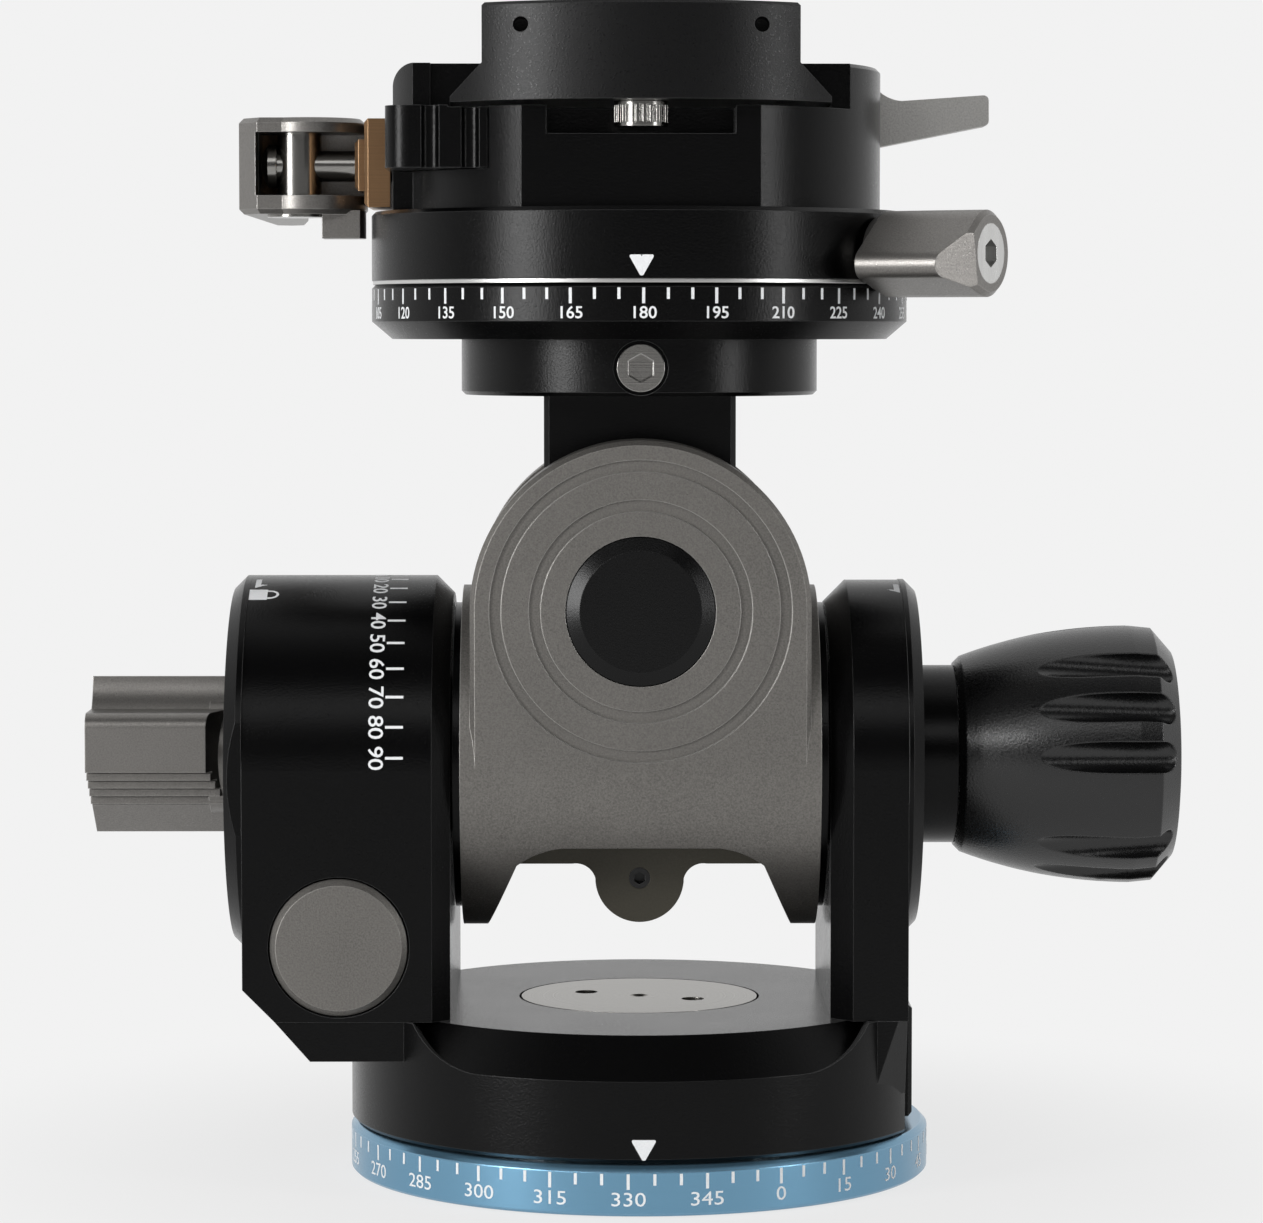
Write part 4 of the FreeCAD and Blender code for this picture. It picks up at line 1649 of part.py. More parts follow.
def qr_plate():
    """The camera plate."""
    pads = [slab(low, high, -PAD_HALF_LENGTH, PAD_HALF_LENGTH, PLATE_TOP - PAD_THICKNESS,
                 PLATE_TOP + EDGE)
            for low, high in plate_pad_spans()]
    stops = [rod("z", STOP_SHANK_RADIUS, PLATE_Z, PLATE_Z + STOP_SHANK_LENGTH, 0.0, side * STOP_Y)
             for side in (-1, 1)]
    hole_z = PLATE_TOP - PLATE_HOLE_DROP
    end_y = math.sqrt(PLATE_END_RADIUS ** 2 - PLATE_HOLE_X ** 2)
    holes = [rod("y", PLATE_HOLE_RADIUS, -end_y - EDGE, -end_y + PLATE_HOLE_DEPTH, side * PLATE_HOLE_X,
                 hole_z)
             for side in (-1, 1)]
    shoulder = camera_head_top() + CAMERA_TRAVEL
    head = rod("z", CAMERA_HEAD_RADIUS + FREE_GAP, PLATE_Z, shoulder)
    thread = rod("z", CAMERA_THREAD_RADIUS + SCREW_FIT, PLATE_Z, PLATE_TOP)
    return less(plate_blank(), head, thread, *pads, *stops, *holes)


def plate_pads():
    """Two rubber strips on the camera plate."""
    return [slab(low, high, -PAD_HALF_LENGTH, PAD_HALF_LENGTH, PLATE_TOP - PAD_THICKNESS,
                 PLATE_TOP + PAD_PROUD)
            for low, high in plate_pad_spans()]


def stop_screws():
    """The two knurled stop screws under the plate's ends."""
    found = []
    for side in (-1, 1):
        y = side * STOP_Y
        low = PLATE_Z - STOP_HEAD_HEIGHT
        head = rod("z", STOP_HEAD_RADIUS, low, PLATE_Z, 0.0, y)
        groove = rod("z", STOP_KNURL_DEPTH, low + EDGE, PLATE_Z - EDGE, STOP_HEAD_RADIUS, y)
        head = less(head, *copies_around(groove, STOP_KNURLS, Vector(0, y, 0), UP))
        shank = rod("z", STOP_SHANK_RADIUS, PLATE_Z, PLATE_Z + STOP_SHANK_LENGTH, 0.0, y)
        found.append(joined(head, shank))
    return found


def camera_head_top():
    """The upper face of the camera screw's head when it is down."""
    return PLATE_Z + CAMERA_HEAD_LIFT + CAMERA_HEAD_HEIGHT


def camera_screw():
    """The 1/4-20 screw that holds the camera, shown dropped into the plate."""
    low = PLATE_Z + CAMERA_HEAD_LIFT
    head = rod("z", CAMERA_HEAD_RADIUS, low, camera_head_top())
    thread = rod("z", CAMERA_THREAD_RADIUS, camera_head_top(), PLATE_TOP - CAMERA_TIP_DROP)
    slot = slab(-BEYOND, BEYOND, -CAMERA_SLOT_WIDTH / 2, CAMERA_SLOT_WIDTH / 2, low,
                low + CAMERA_SLOT_DEPTH)
    return less(joined(head, bevelled(thread, EDGE, "z", PLATE_TOP - CAMERA_TIP_DROP)), slot)


# ================================================================== all parts
PARTS = [base_ring, pan_spindle, pan_thrust_washer, pan_body, pan_side_plate, side_plate_screws,
         arm_screws, pan_lock_screw, pan_lock_knob, tilt_gear_housing, tilt_housing_cover,
         right_arm, right_arm_bezel, left_trunnion_bush, right_trunnion_bush, tilt_worm_cap,
         tilt_worm_bushes, tilt_worm_shaft, tilt_knob, tilt_lock_wing, tilt_lock_screw,
         roll_lock_wing, roll_lock_screw, tilt_block, left_trunnion, right_trunnion, tilt_wheel,
         worm_adjust_plate, worm_adjust_screw, roll_axis_cap, roll_bushes, roll_worm_bushes,
         roll_worm_shaft, roll_knob, roll_knob_set_screw, roll_neck, roll_axis_pin,
         roll_sector_gear, neck_collar, collar_clamp_screw, upper_scale_ring, upper_pan_spindle,
         upper_pan_washer, upper_pan_body, upper_pan_lock_lever, upper_pan_lock_screw, clamp_base,
         clamp_screws, moving_jaw, jaw_guide_pins, cam_plate, pull_rod, lever_pin, cam_lever,
         release_lever, release_lever_pin, qr_plate, plate_pads, stop_screws, camera_screw]


def write_part(maker):
    """Build one sub-part and write it as a STEP file under its own name."""
    made = maker()
    solids = made if isinstance(made, list) else [made]
    found = [solid for shape in solids for solid in shape.Solids]
    shape = found[0] if len(found) == 1 else Part.makeCompound(found)
    print(maker.__name__, len(found), round(shape.Volume, 1), shape.isValid())
    shape.exportStep(os.path.join("parts", maker.__name__ + ".step"))


os.makedirs("parts", exist_ok=True)
for part_maker in PARTS:
    write_part(part_maker)
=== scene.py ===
# %% [markdown]
# # A geared camera head
#
# The head has a lower pan, a fork with a tilting block, a rolling neck, an upper pan and a quick
# release clamp. Every solid of it comes from the CAD model. This lesson gives those solids their
# finishes, adds the printed scales, and sets up a small studio.
#
# Blender works in metres here, in the same frame as the CAD, so nothing has to be fitted.

# %% Load the frame
import math

import bmesh
import bpy
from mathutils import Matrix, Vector


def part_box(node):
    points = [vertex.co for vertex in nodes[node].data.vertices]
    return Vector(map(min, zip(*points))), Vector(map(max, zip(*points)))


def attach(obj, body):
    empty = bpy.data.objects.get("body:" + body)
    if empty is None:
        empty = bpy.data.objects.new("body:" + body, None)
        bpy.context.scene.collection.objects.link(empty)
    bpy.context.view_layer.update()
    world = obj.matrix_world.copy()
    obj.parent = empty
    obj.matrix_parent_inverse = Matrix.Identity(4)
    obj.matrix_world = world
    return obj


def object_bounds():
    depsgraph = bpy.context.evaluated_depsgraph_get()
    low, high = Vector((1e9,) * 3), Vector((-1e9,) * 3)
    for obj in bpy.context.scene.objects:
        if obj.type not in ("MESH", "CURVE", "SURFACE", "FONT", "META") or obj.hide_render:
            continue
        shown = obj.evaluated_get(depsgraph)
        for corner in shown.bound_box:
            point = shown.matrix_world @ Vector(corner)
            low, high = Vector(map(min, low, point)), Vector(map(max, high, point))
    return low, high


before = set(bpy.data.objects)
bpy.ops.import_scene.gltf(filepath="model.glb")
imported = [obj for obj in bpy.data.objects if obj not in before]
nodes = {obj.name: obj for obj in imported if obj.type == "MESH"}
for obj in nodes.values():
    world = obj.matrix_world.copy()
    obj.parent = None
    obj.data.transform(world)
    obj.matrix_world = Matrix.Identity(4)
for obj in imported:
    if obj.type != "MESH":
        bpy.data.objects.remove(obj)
cad_low, cad_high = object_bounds()
MM = 0.001
print("solids:", len(nodes), "box in mm:", [round(v / MM, 1) for v in (*cad_low, *cad_high)])

# %% [markdown]
# ## Reading the places of the pieces
#
# A solid's place is in its vertices, so its box says where it is. The scales are placed by the
# boxes of the rings and housings that carry them. That way they stay right when the CAD model
# changes.

# %% Places that the scales use
base_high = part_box("base_ring")[1]
ring_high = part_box("upper_scale_ring")[1]
housing_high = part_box("tilt_gear_housing")[1]
right_arm_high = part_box("right_arm")[1]
knob_low, knob_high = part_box("roll_knob")

BASE_RADIUS = base_high.x
UPPER_RADIUS = ring_high.x
TILT_Z = (knob_low.z + knob_high.z) / 2
HOUSING_RADIUS = housing_high.z - TILT_Z
RIGHT_ARM_RADIUS = right_arm_high.z - TILT_Z
print("tilt axis at", round(TILT_Z / MM, 2), "mm")

# %% [markdown]
# ## The camera
#
# The head is seen from the front, from about its own middle height and nearly half a metre away,
# with a long lens. The camera looks down by a few degrees. A sensor 36 mm wide and the lens
# below give the wanted angle, so no shift is needed.

# %% Camera
IMAGE_WIDTH = 1263
FOCAL_PIXELS = 4520.0
SENSOR_WIDTH = 36.0
CAMERA_DISTANCE = 0.472
CAMERA_HEIGHT = 0.0874
CAMERA_SIDE = -0.0041
LOOK_DOWN = math.radians(3.56)
LOOK_RIGHT = math.radians(0.4)

camera_data = bpy.data.cameras.new("camera")
camera_data.sensor_width = SENSOR_WIDTH
camera_data.lens = FOCAL_PIXELS * SENSOR_WIDTH / IMAGE_WIDTH
camera_data.clip_start = 0.01
camera_data.clip_end = 20.0
camera = bpy.data.objects.new("camera", camera_data)
camera.location = (CAMERA_SIDE, -CAMERA_DISTANCE, CAMERA_HEIGHT)
camera.rotation_euler = (math.pi / 2 - LOOK_DOWN, 0.0, -LOOK_RIGHT)
bpy.context.scene.collection.objects.link(camera)
bpy.context.scene.camera = camera
bpy.context.scene.view_settings.view_transform = "Standard"
print("lens:", round(camera_data.lens, 1), "mm")

# %% [markdown]
# ## Shader nodes in few words
#
# Each finish is a small graph of shader nodes. A few helpers keep the cells short: one adds a
# node and sets its values, one joins an output to an input, and one mixes two colours. Each new
# material starts with a Principled BSDF that is already joined to the output.


# %% Helpers for shader nodes
def add(tree, kind, values=None, **settings):
    """A new node of the kind, with its settings and the values of its input sockets."""
    made = tree.nodes.new("ShaderNode" + kind)
    for name, value in settings.items():
        setattr(made, name, value)
    for socket, value in (values or {}).items():
        made.inputs[socket].default_value = value
    return made


def wire(tree, source, output, target, entry):
    """Joins an output socket to an input socket."""
    tree.links.new(source.outputs[output], target.inputs[entry])


def colour_mix(tree, **colours):
    """A mix of the colours A and B. A colour that is left out is wired later."""
    made = add(tree, "Mix", data_type="RGBA")
    for socket, colour in colours.items():
        made.inputs[socket].default_value = (*colour, 1.0)
    return made


def new_material(name, base, **values):
    """A material whose Principled BSDF has these values on its own sockets."""
    material = bpy.data.materials.new(name)
    material.use_nodes = True
    material.diffuse_color = (*base, 1.0)
    shader = material.node_tree.nodes["Principled BSDF"]
    shader.inputs["Base Color"].default_value = (*base, 1.0)
    for socket, value in values.items():
        shader.inputs[socket.replace("_", " ")].default_value = value
    return material, material.node_tree, shader


def new_group(name, inputs, outputs):
    """An empty node group with its sockets, and its two end nodes."""
    tree = bpy.data.node_groups.new(name, "ShaderNodeTree")
    for label, kind, value in inputs:
        socket = tree.interface.new_socket(label, in_out="INPUT", socket_type="NodeSocket" + kind)
        socket.default_value = value
    for label, kind in outputs:
        tree.interface.new_socket(label, in_out="OUTPUT", socket_type="NodeSocket" + kind)
    return tree, tree.nodes.new("NodeGroupInput"), tree.nodes.new("NodeGroupOutput")


def use_group(tree, group, **values):
    """One use of a node group in a material, with this material's own values."""
    made = tree.nodes.new("ShaderNodeGroup")
    made.node_tree = group
    for socket, value in values.items():
        made.inputs[socket.replace("_", " ")].default_value = value
    return made


def dress(material, *names):
    """Gives the material to CAD nodes, in place of the plain colour that they came with."""
    for name in names:
        nodes[name].data.materials.clear()
        nodes[name].data.materials.append(material)
    print(material.name, "on", len(names), "solids")


# %% [markdown]
# ## Effect: broken edges
#
# A machined edge is never quite sharp. It is broken with a small chamfer, and there it catches a
# thin line of light and loses a little colour. The Bevel node gives the normal of a rounded
# edge. Where that normal leans away from the face's own normal, there is an edge, and the lean
# gives a mask for it. The finishes lighten their colour by this mask, which is partly worn dye
# and partly a painted highlight along the edge. The same node's normal also rounds the edge for
# the light.

# %% Group: broken edges
edges, edges_in, edges_out = new_group(
    "broken edges",
    [("Reach", "Float", 0.25), ("Gain", "Float", 3.0)],
    [("Mask", "Float"), ("Normal", "Vector")])
reach = add(edges, "Math", {1: MM}, operation="MULTIPLY")
rounded = add(edges, "Bevel", samples=6)
face = add(edges, "NewGeometry")
lean = add(edges, "VectorMath", operation="DOT_PRODUCT")
turned_away = add(edges, "Math", {0: 1.0}, operation="SUBTRACT")
stronger = add(edges, "Math", operation="MULTIPLY", use_clamp=True)
wire(edges, edges_in, "Reach", reach, 0)
wire(edges, reach, 0, rounded, "Radius")
wire(edges, rounded, "Normal", lean, 0)
wire(edges, face, "Normal", lean, 1)
wire(edges, lean, "Value", turned_away, 1)
wire(edges, turned_away, 0, stronger, 0)
wire(edges, edges_in, "Gain", stronger, 1)
wire(edges, stronger, 0, edges_out, "Mask")
wire(edges, rounded, "Normal", edges_out, "Normal")
print("group:", edges.name)

# %% [markdown]
# ## Effect: blasted grain
#
# Before anodising, the aluminium is blasted with fine beads. That leaves tiny dents, which
# glitter where the light is bright. Two noises make it: one at the size of the dents, and a
# slower one that lets the tone wander, as it does on every real surface. The height goes into a
# Bump node, and the shade into the colour and the roughness. The glint is 1 only on the highest
# spots of the grain.

# %% Group: blasted grain
grain, grain_in, grain_out = new_group(
    "blasted grain",
    [("Grain per mm", "Float", 6.0), ("Contrast", "Float", 0.5), ("Cloud", "Float", 0.2)],
    [("Shade", "Float"), ("Height", "Float"), ("Glint", "Float")])
place = add(grain, "TexCoord")
in_mm = add(grain, "VectorMath", {"Scale": 1 / MM}, operation="SCALE")
dents = add(grain, "TexNoise", {"Detail": 2.0, "Roughness": 0.6}, noise_dimensions="3D")
cloud = add(grain, "TexNoise", {"Scale": 0.12, "Detail": 2.0}, noise_dimensions="3D")
centred = add(grain, "Math", {1: 0.5}, operation="SUBTRACT")
scaled = add(grain, "Math", operation="MULTIPLY")
cloud_centred = add(grain, "Math", {1: 0.5}, operation="SUBTRACT")
cloud_scaled = add(grain, "Math", operation="MULTIPLY")
both = add(grain, "Math", operation="ADD")
shade = add(grain, "Math", {1: 0.5}, operation="ADD", use_clamp=True)
peaks = add(grain, "MapRange", {"From Min": 0.6, "From Max": 0.74})
wire(grain, place, "Object", in_mm, 0)
wire(grain, in_mm, "Vector", dents, "Vector")
wire(grain, grain_in, "Grain per mm", dents, "Scale")
wire(grain, in_mm, "Vector", cloud, "Vector")
wire(grain, dents, "Fac", centred, 0)
wire(grain, centred, 0, scaled, 0)
wire(grain, grain_in, "Contrast", scaled, 1)
wire(grain, cloud, "Fac", cloud_centred, 0)
wire(grain, cloud_centred, 0, cloud_scaled, 0)
wire(grain, grain_in, "Cloud", cloud_scaled, 1)
wire(grain, scaled, 0, both, 0)
wire(grain, cloud_scaled, 0, both, 1)
wire(grain, both, 0, shade, 0)
wire(grain, dents, "Fac", peaks, "Value")
wire(grain, shade, 0, grain_out, "Shade")
wire(grain, dents, "Fac", grain_out, "Height")
wire(grain, peaks, "Result", grain_out, "Glint")
print("group:", grain.name)

# %% [markdown]
# ## Effect: turning marks
#
# A face that was turned on a lathe keeps very fine rings about the axis it turned on. They bend
# the light into the bright bow-tie that a steel disc shows. The rings come from the distance to
# an axis through the origin, fed to a one-dimensional noise. Mask picks which of X, Y and Z
# count for that distance.

# %% Group: turning marks
rings, rings_in, rings_out = new_group(
    "turning marks",
    [("Mask", "Vector", (1.0, 1.0, 0.0)), ("Rings per mm", "Float", 8.0)],
    [("Shade", "Float"), ("Height", "Float")])
spot = add(rings, "TexCoord")
flat = add(rings, "VectorMath", operation="MULTIPLY")
distance = add(rings, "VectorMath", operation="LENGTH")
distance_mm = add(rings, "Math", {1: 1 / MM}, operation="MULTIPLY")
marks = add(rings, "TexNoise", {"Detail": 3.0, "Roughness": 0.7}, noise_dimensions="1D")
wire(rings, spot, "Object", flat, 0)
wire(rings, rings_in, "Mask", flat, 1)
wire(rings, flat, "Vector", distance, 0)
wire(rings, distance, "Value", distance_mm, 0)
wire(rings, distance_mm, 0, marks, "W")
wire(rings, rings_in, "Rings per mm", marks, "Scale")
wire(rings, marks, "Fac", rings_out, "Shade")
wire(rings, marks, "Fac", rings_out, "Height")
print("group:", rings.name)

# %% [markdown]
# ## One recipe for blasted and anodised metal
#
# The black and the grey finishes are the same process with another dye, so one function builds
# them. The grain shades the colour, the broken edges lighten it with wear and a painted
# highlight, and both shape the light. The highest spots of the grain are smoother by the glint,
# so they sparkle. Where a face is seen at a very flat angle, the colour is made paler: a painted
# sheen that stands for the glancing reflection. What differs is given by name: the colours, the
# gloss, and the size and depth of the grain.


# %% Recipe: blasted metal
DARK_GRAIN, LIGHT_GRAIN = 0.55, 1.45
SHEEN_STARTS, SHEEN_FULL = 0.7, 0.9
DENT_DEPTH = 0.05 * MM


def blasted(name, base, edge, per_mm, depth, contrast=0.5, cloud=0.2, reach=0.25, gain=2.5,
            rough=0.4, swing=0.12, glint=0.0, glancing_sheen=0.0, **values):
    """Blasted metal with per_mm grains. At a flat angle a painted sheen lightens its colour by
    the given amount.
    """
    material, tree, shader = new_material(name, base, **values)
    dots = use_group(tree, grain, Grain_per_mm=per_mm, Contrast=contrast, Cloud=cloud)
    rim = use_group(tree, edges, Reach=reach, Gain=gain)
    tone = colour_mix(tree, A=[c * DARK_GRAIN for c in base], B=[c * LIGHT_GRAIN for c in base])
    # Lighter colour along the edges: partly worn dye, partly a painted highlight.
    edge_wear_and_highlight = colour_mix(tree, B=edge)
    # At a flat angle the colour turns paler: a painted sheen standing for the glancing
    # reflection.
    slant = add(tree, "LayerWeight", {"Blend": 0.5})
    painted_sheen_mask = add(tree, "MapRange", {"From Min": SHEEN_STARTS, "From Max": SHEEN_FULL, "To Max": 1.0})
    sheened_colour = colour_mix(tree, B=[c + glancing_sheen for c in base])
    gloss = add(tree, "MapRange", {"To Min": rough + swing, "To Max": rough - swing})
    sparkle = add(tree, "Math", {1: -glint}, operation="MULTIPLY_ADD", use_clamp=True)
    dented = add(tree, "Bump", {"Strength": depth, "Distance": DENT_DEPTH})
    wire(tree, dots, "Shade", tone, "Factor")
    wire(tree, slant, "Facing", painted_sheen_mask, "Value")
    wire(tree, painted_sheen_mask, "Result", sheened_colour, "Factor")
    wire(tree, tone, "Result", sheened_colour, "A")
    wire(tree, sheened_colour, "Result", edge_wear_and_highlight, "A")
    wire(tree, rim, "Mask", edge_wear_and_highlight, "Factor")
    wire(tree, edge_wear_and_highlight, "Result", shader, "Base Color")
    wire(tree, dots, "Shade", gloss, "Value")
    wire(tree, dots, "Glint", sparkle, 0)
    wire(tree, gloss, "Result", sparkle, 2)
    wire(tree, sparkle, 0, shader, "Roughness")
    wire(tree, dots, "Height", dented, "Height")
    wire(tree, rim, "Normal", dented, "Normal")
    wire(tree, dented, "Normal", shader, "Normal")
    return material


# %% [markdown]
# ## Grey blasted aluminium
#
# The tilting block and the cap over the tilt worm are a warm mid grey with a fine glitter. It is
# a metal with a rough skin: metallic, so that it takes the light of the room, and rough, so that
# it shows no picture of it. The lock wings and the long levers are smoother. The small release
# lever has a paler copy of the grey, which paints in the brighter light of the right lamp on its
# blade.

# %% Finish: grey blasted aluminium
titan = blasted("titan_grey", base=(0.15, 0.143, 0.133), edge=(0.5, 0.49, 0.47), per_mm=5.0,
                depth=0.6, contrast=1.3, cloud=0.3, reach=0.13, gain=3.0, rough=0.44,
                glint=0.15, Metallic=0.7)
dress(titan, "tilt_block", "tilt_worm_cap")
satin = blasted("satin_grey", base=(0.19, 0.182, 0.172), edge=(0.55, 0.54, 0.52), per_mm=6.0,
                depth=0.3, contrast=0.9, reach=0.13, gain=3.0, rough=0.36, swing=0.06,
                glint=0.1, Metallic=0.85)
dress(satin, "tilt_lock_wing", "roll_lock_wing", "upper_pan_lock_lever", "cam_lever")
# A paler copy of the grey for the release lever: painted light from the right lamp.
lamp_lit_grey = blasted("lamp_lit_grey", base=(0.4, 0.392, 0.378), edge=(0.65, 0.64, 0.62), per_mm=5.0,
                     depth=0.4, contrast=1.0, reach=0.13, gain=3.0, rough=0.4, glint=0.12,
                     Metallic=0.6)
dress(lamp_lit_grey, "release_lever")

# %% [markdown]
# ## Black anodised aluminium
#
# The housings, the arms, both pans and the clamp are dyed a deep black. The dye takes nearly all
# the light, so what the eye reads is the soft shine of the oxide skin. That shine is weak face
# on and strong at a glancing angle, which a low specular level gives, together with a sheen
# painted into the colour at that angle.

# %% Finish: black anodised aluminium
# Its colour gets a painted sheen at flat angles, for the glancing reflection of the room.
black = blasted("black_anodise", base=(0.001, 0.001, 0.0011), edge=(0.12, 0.12, 0.12), per_mm=5.0,
                depth=0.4, contrast=1.4, cloud=0.4, reach=0.1, gain=2.4, rough=0.24, swing=0.06,
                glint=0.1, glancing_sheen=0.06, Specular_IOR_Level=0.14)
dress(black, "pan_body", "pan_side_plate", "tilt_gear_housing", "tilt_housing_cover", "right_arm",
      "right_arm_bezel", "left_trunnion", "right_trunnion", "roll_neck", "neck_collar",
      "upper_scale_ring", "upper_pan_body", "clamp_base", "moving_jaw")

# %% [markdown]
# ## Black cap, knobs and camera plate
#
# The same recipe again with other numbers. The cap on the roll axis is smooth, the knobs are
# coarser and shine more on their flutes, and the camera plate is duller than the housings.

# %% Finish: black cap, knobs and camera plate
smooth_black = blasted("black_cap", base=(0.001, 0.001, 0.0011), edge=(0.05, 0.05, 0.05),
                       per_mm=6.0, depth=0.2, reach=0.12, gain=1.6, rough=0.27,
                       Specular_IOR_Level=0.22)
dress(smooth_black, "roll_axis_cap")
grip_black = blasted("black_grip", base=(0.0018, 0.0018, 0.002), edge=(0.06, 0.06, 0.06),
                     per_mm=4.0, depth=0.4, contrast=1.4, reach=0.25, gain=1.2, rough=0.27,
                     swing=0.07, glint=0.1, Specular_IOR_Level=0.55)
dress(grip_black, "roll_knob", "tilt_knob", "pan_lock_knob")
plate_black = blasted("black_plate", base=(0.003, 0.003, 0.0032), edge=(0.12, 0.12, 0.12),
                      per_mm=5.0, depth=0.45, contrast=1.4, reach=0.11, gain=2.0, rough=0.34,
                      swing=0.08, glint=0.1, Specular_IOR_Level=0.2)
dress(plate_black, "qr_plate")

# %% [markdown]
# ## Blue anodised ring
#
# The lower ring is turned, polished and dyed blue. The dye is clear, so the metal below shines
# through it: a metallic base in the dye's colour. Fine turning marks run round it, and its
# chamfers look darker because they face the floor and the pan.

# %% Finish: blue anodised ring
TURNED_DEPTH = 0.02 * MM

blue, tree, shader = new_material("blue_anodise", (0.16, 0.33, 0.47), Metallic=0.85,
                                  Roughness=0.26)
turned_lines = use_group(tree, rings, Mask=(0.0, 0.0, 1.0), Rings_per_mm=14.0)
rim = use_group(tree, edges, Reach=0.2, Gain=2.0)
tone = colour_mix(tree, A=(0.12, 0.27, 0.4), B=(0.2, 0.38, 0.53))
# Lighter colour along the edges: partly worn dye, partly a painted highlight.
edge_wear_and_highlight = colour_mix(tree, B=(0.45, 0.62, 0.75))
gloss = add(tree, "MapRange", {"To Min": 0.3, "To Max": 0.2})
lines = add(tree, "Bump", {"Strength": 0.08, "Distance": TURNED_DEPTH})
wire(tree, turned_lines, "Shade", tone, "Factor")
wire(tree, tone, "Result", edge_wear_and_highlight, "A")
wire(tree, rim, "Mask", edge_wear_and_highlight, "Factor")
wire(tree, edge_wear_and_highlight, "Result", shader, "Base Color")
wire(tree, turned_lines, "Shade", gloss, "Value")
wire(tree, gloss, "Result", shader, "Roughness")
wire(tree, turned_lines, "Height", lines, "Height")
wire(tree, rim, "Normal", lines, "Normal")
wire(tree, lines, "Normal", shader, "Normal")
dress(blue, "base_ring")

# %% [markdown]
# ## Bare metals
#
# The spindles, screws and pins are stainless steel straight from the lathe, the bearing parts
# are bronze, and a few hidden screws are blackened. They share one recipe: a metal with turning
# marks and a light rim, which is partly wear and partly a painted highlight. On the spindles the
# marks run round the piece's own axis, and on the small pieces away from the origin they are only
# fine lines.

# %% Recipe: turned metal
ROUND_X, ROUND_Y, ROUND_Z = (0.0, 1.0, 1.0), (1.0, 0.0, 1.0), (1.0, 1.0, 0.0)
DARK_MARK, LIGHT_MARK = 0.8, 1.2
MARK_SWING = 0.08


def lathe_metal(name, base, edge, rough, mask=ROUND_Z, per_mm=8.0, **values):
    """Bare metal off the lathe, with rings about the axis that the mask leaves out."""
    material, tree, shader = new_material(name, base, **values)
    marks = use_group(tree, rings, Mask=mask, Rings_per_mm=per_mm)
    rim = use_group(tree, edges, Reach=0.12, Gain=1.5)
    tone = colour_mix(tree, A=[c * DARK_MARK for c in base], B=[c * LIGHT_MARK for c in base])
    # Lighter colour along the edges: partly worn dye, partly a painted highlight.
    edge_wear_and_highlight = colour_mix(tree, B=edge)
    gloss = add(tree, "MapRange", {"To Min": rough + MARK_SWING, "To Max": rough - MARK_SWING})
    cut = add(tree, "Bump", {"Strength": 0.15, "Distance": TURNED_DEPTH})
    wire(tree, marks, "Shade", tone, "Factor")
    wire(tree, tone, "Result", edge_wear_and_highlight, "A")
    wire(tree, rim, "Mask", edge_wear_and_highlight, "Factor")
    wire(tree, edge_wear_and_highlight, "Result", shader, "Base Color")
    wire(tree, marks, "Shade", gloss, "Value")
    wire(tree, gloss, "Result", shader, "Roughness")
    wire(tree, marks, "Height", cut, "Height")
    wire(tree, rim, "Normal", cut, "Normal")
    wire(tree, cut, "Normal", shader, "Normal")
    return material

# %% [markdown]
# ## Steel, bronze and blackened screws
#
# The spindles and washers are turned about the upright axis, the bronze pieces about the tilt
# axis, and the bright screws about the axis from front to back. The cam plate, the bushes and
# both gear wheels are bronze. The screws of the arms and the clamp and the one that adjusts the
# worm are blackened.

# %% Finish: spindles, screws, bronze and blackened steel
STEEL = (0.28, 0.27, 0.25)
SCREW_STEEL = (0.27, 0.263, 0.25)
THIN_STEEL = (0.55, 0.55, 0.54)
STEEL_EDGE = (0.8, 0.79, 0.77)
BRONZE = (0.25, 0.148, 0.078)
BRONZE_EDGE = (0.75, 0.55, 0.35)
BLACKENED = (0.02, 0.02, 0.02)
BLACKENED_EDGE = (0.2, 0.2, 0.2)

disc_steel = lathe_metal("turned_steel", STEEL, STEEL_EDGE, rough=0.3, Metallic=1.0)
dress(disc_steel, "pan_spindle", "upper_pan_spindle")
washer_steel = lathe_metal("thin_steel", THIN_STEEL, STEEL_EDGE, rough=0.3, Metallic=0.9)
dress(washer_steel, "pan_thrust_washer", "upper_pan_washer", "upper_pan_lock_screw")
bronze = lathe_metal("bronze", BRONZE, BRONZE_EDGE, rough=0.32, mask=ROUND_X, per_mm=5.0,
                     Metallic=1.0)
dress(bronze, "cam_plate", "tilt_wheel", "roll_sector_gear", "left_trunnion_bush",
      "right_trunnion_bush", "tilt_worm_bushes", "roll_bushes", "roll_worm_bushes")
screw_steel = lathe_metal("screw_steel", SCREW_STEEL, STEEL_EDGE, rough=0.2, mask=ROUND_Y,
                          per_mm=6.0, Metallic=1.0)
dress(screw_steel, "side_plate_screws", "pan_lock_screw", "tilt_lock_screw", "roll_lock_screw",
      "roll_knob_set_screw", "roll_axis_pin", "collar_clamp_screw", "jaw_guide_pins", "pull_rod",
      "lever_pin", "release_lever_pin", "stop_screws", "camera_screw", "tilt_worm_shaft",
      "roll_worm_shaft")
screw_black = lathe_metal("screw_black", BLACKENED, BLACKENED_EDGE, rough=0.35, Metallic=0.5)
dress(screw_black, "arm_screws", "clamp_screws", "worm_adjust_screw")

# %% [markdown]
# ## Olive plate and rubber strips
#
# The small plate under the block is left with a dull olive skin. The camera plate has two
# rubber strips, ribbed so that the camera doesn't turn on them. The ribs are a Wave texture
# that runs along the strips, as height for the bump.

# %% Finish: olive plate and rubber strips
RIB_DEPTH = 0.25 * MM
GRAIN_ON_RIBS = 0.15

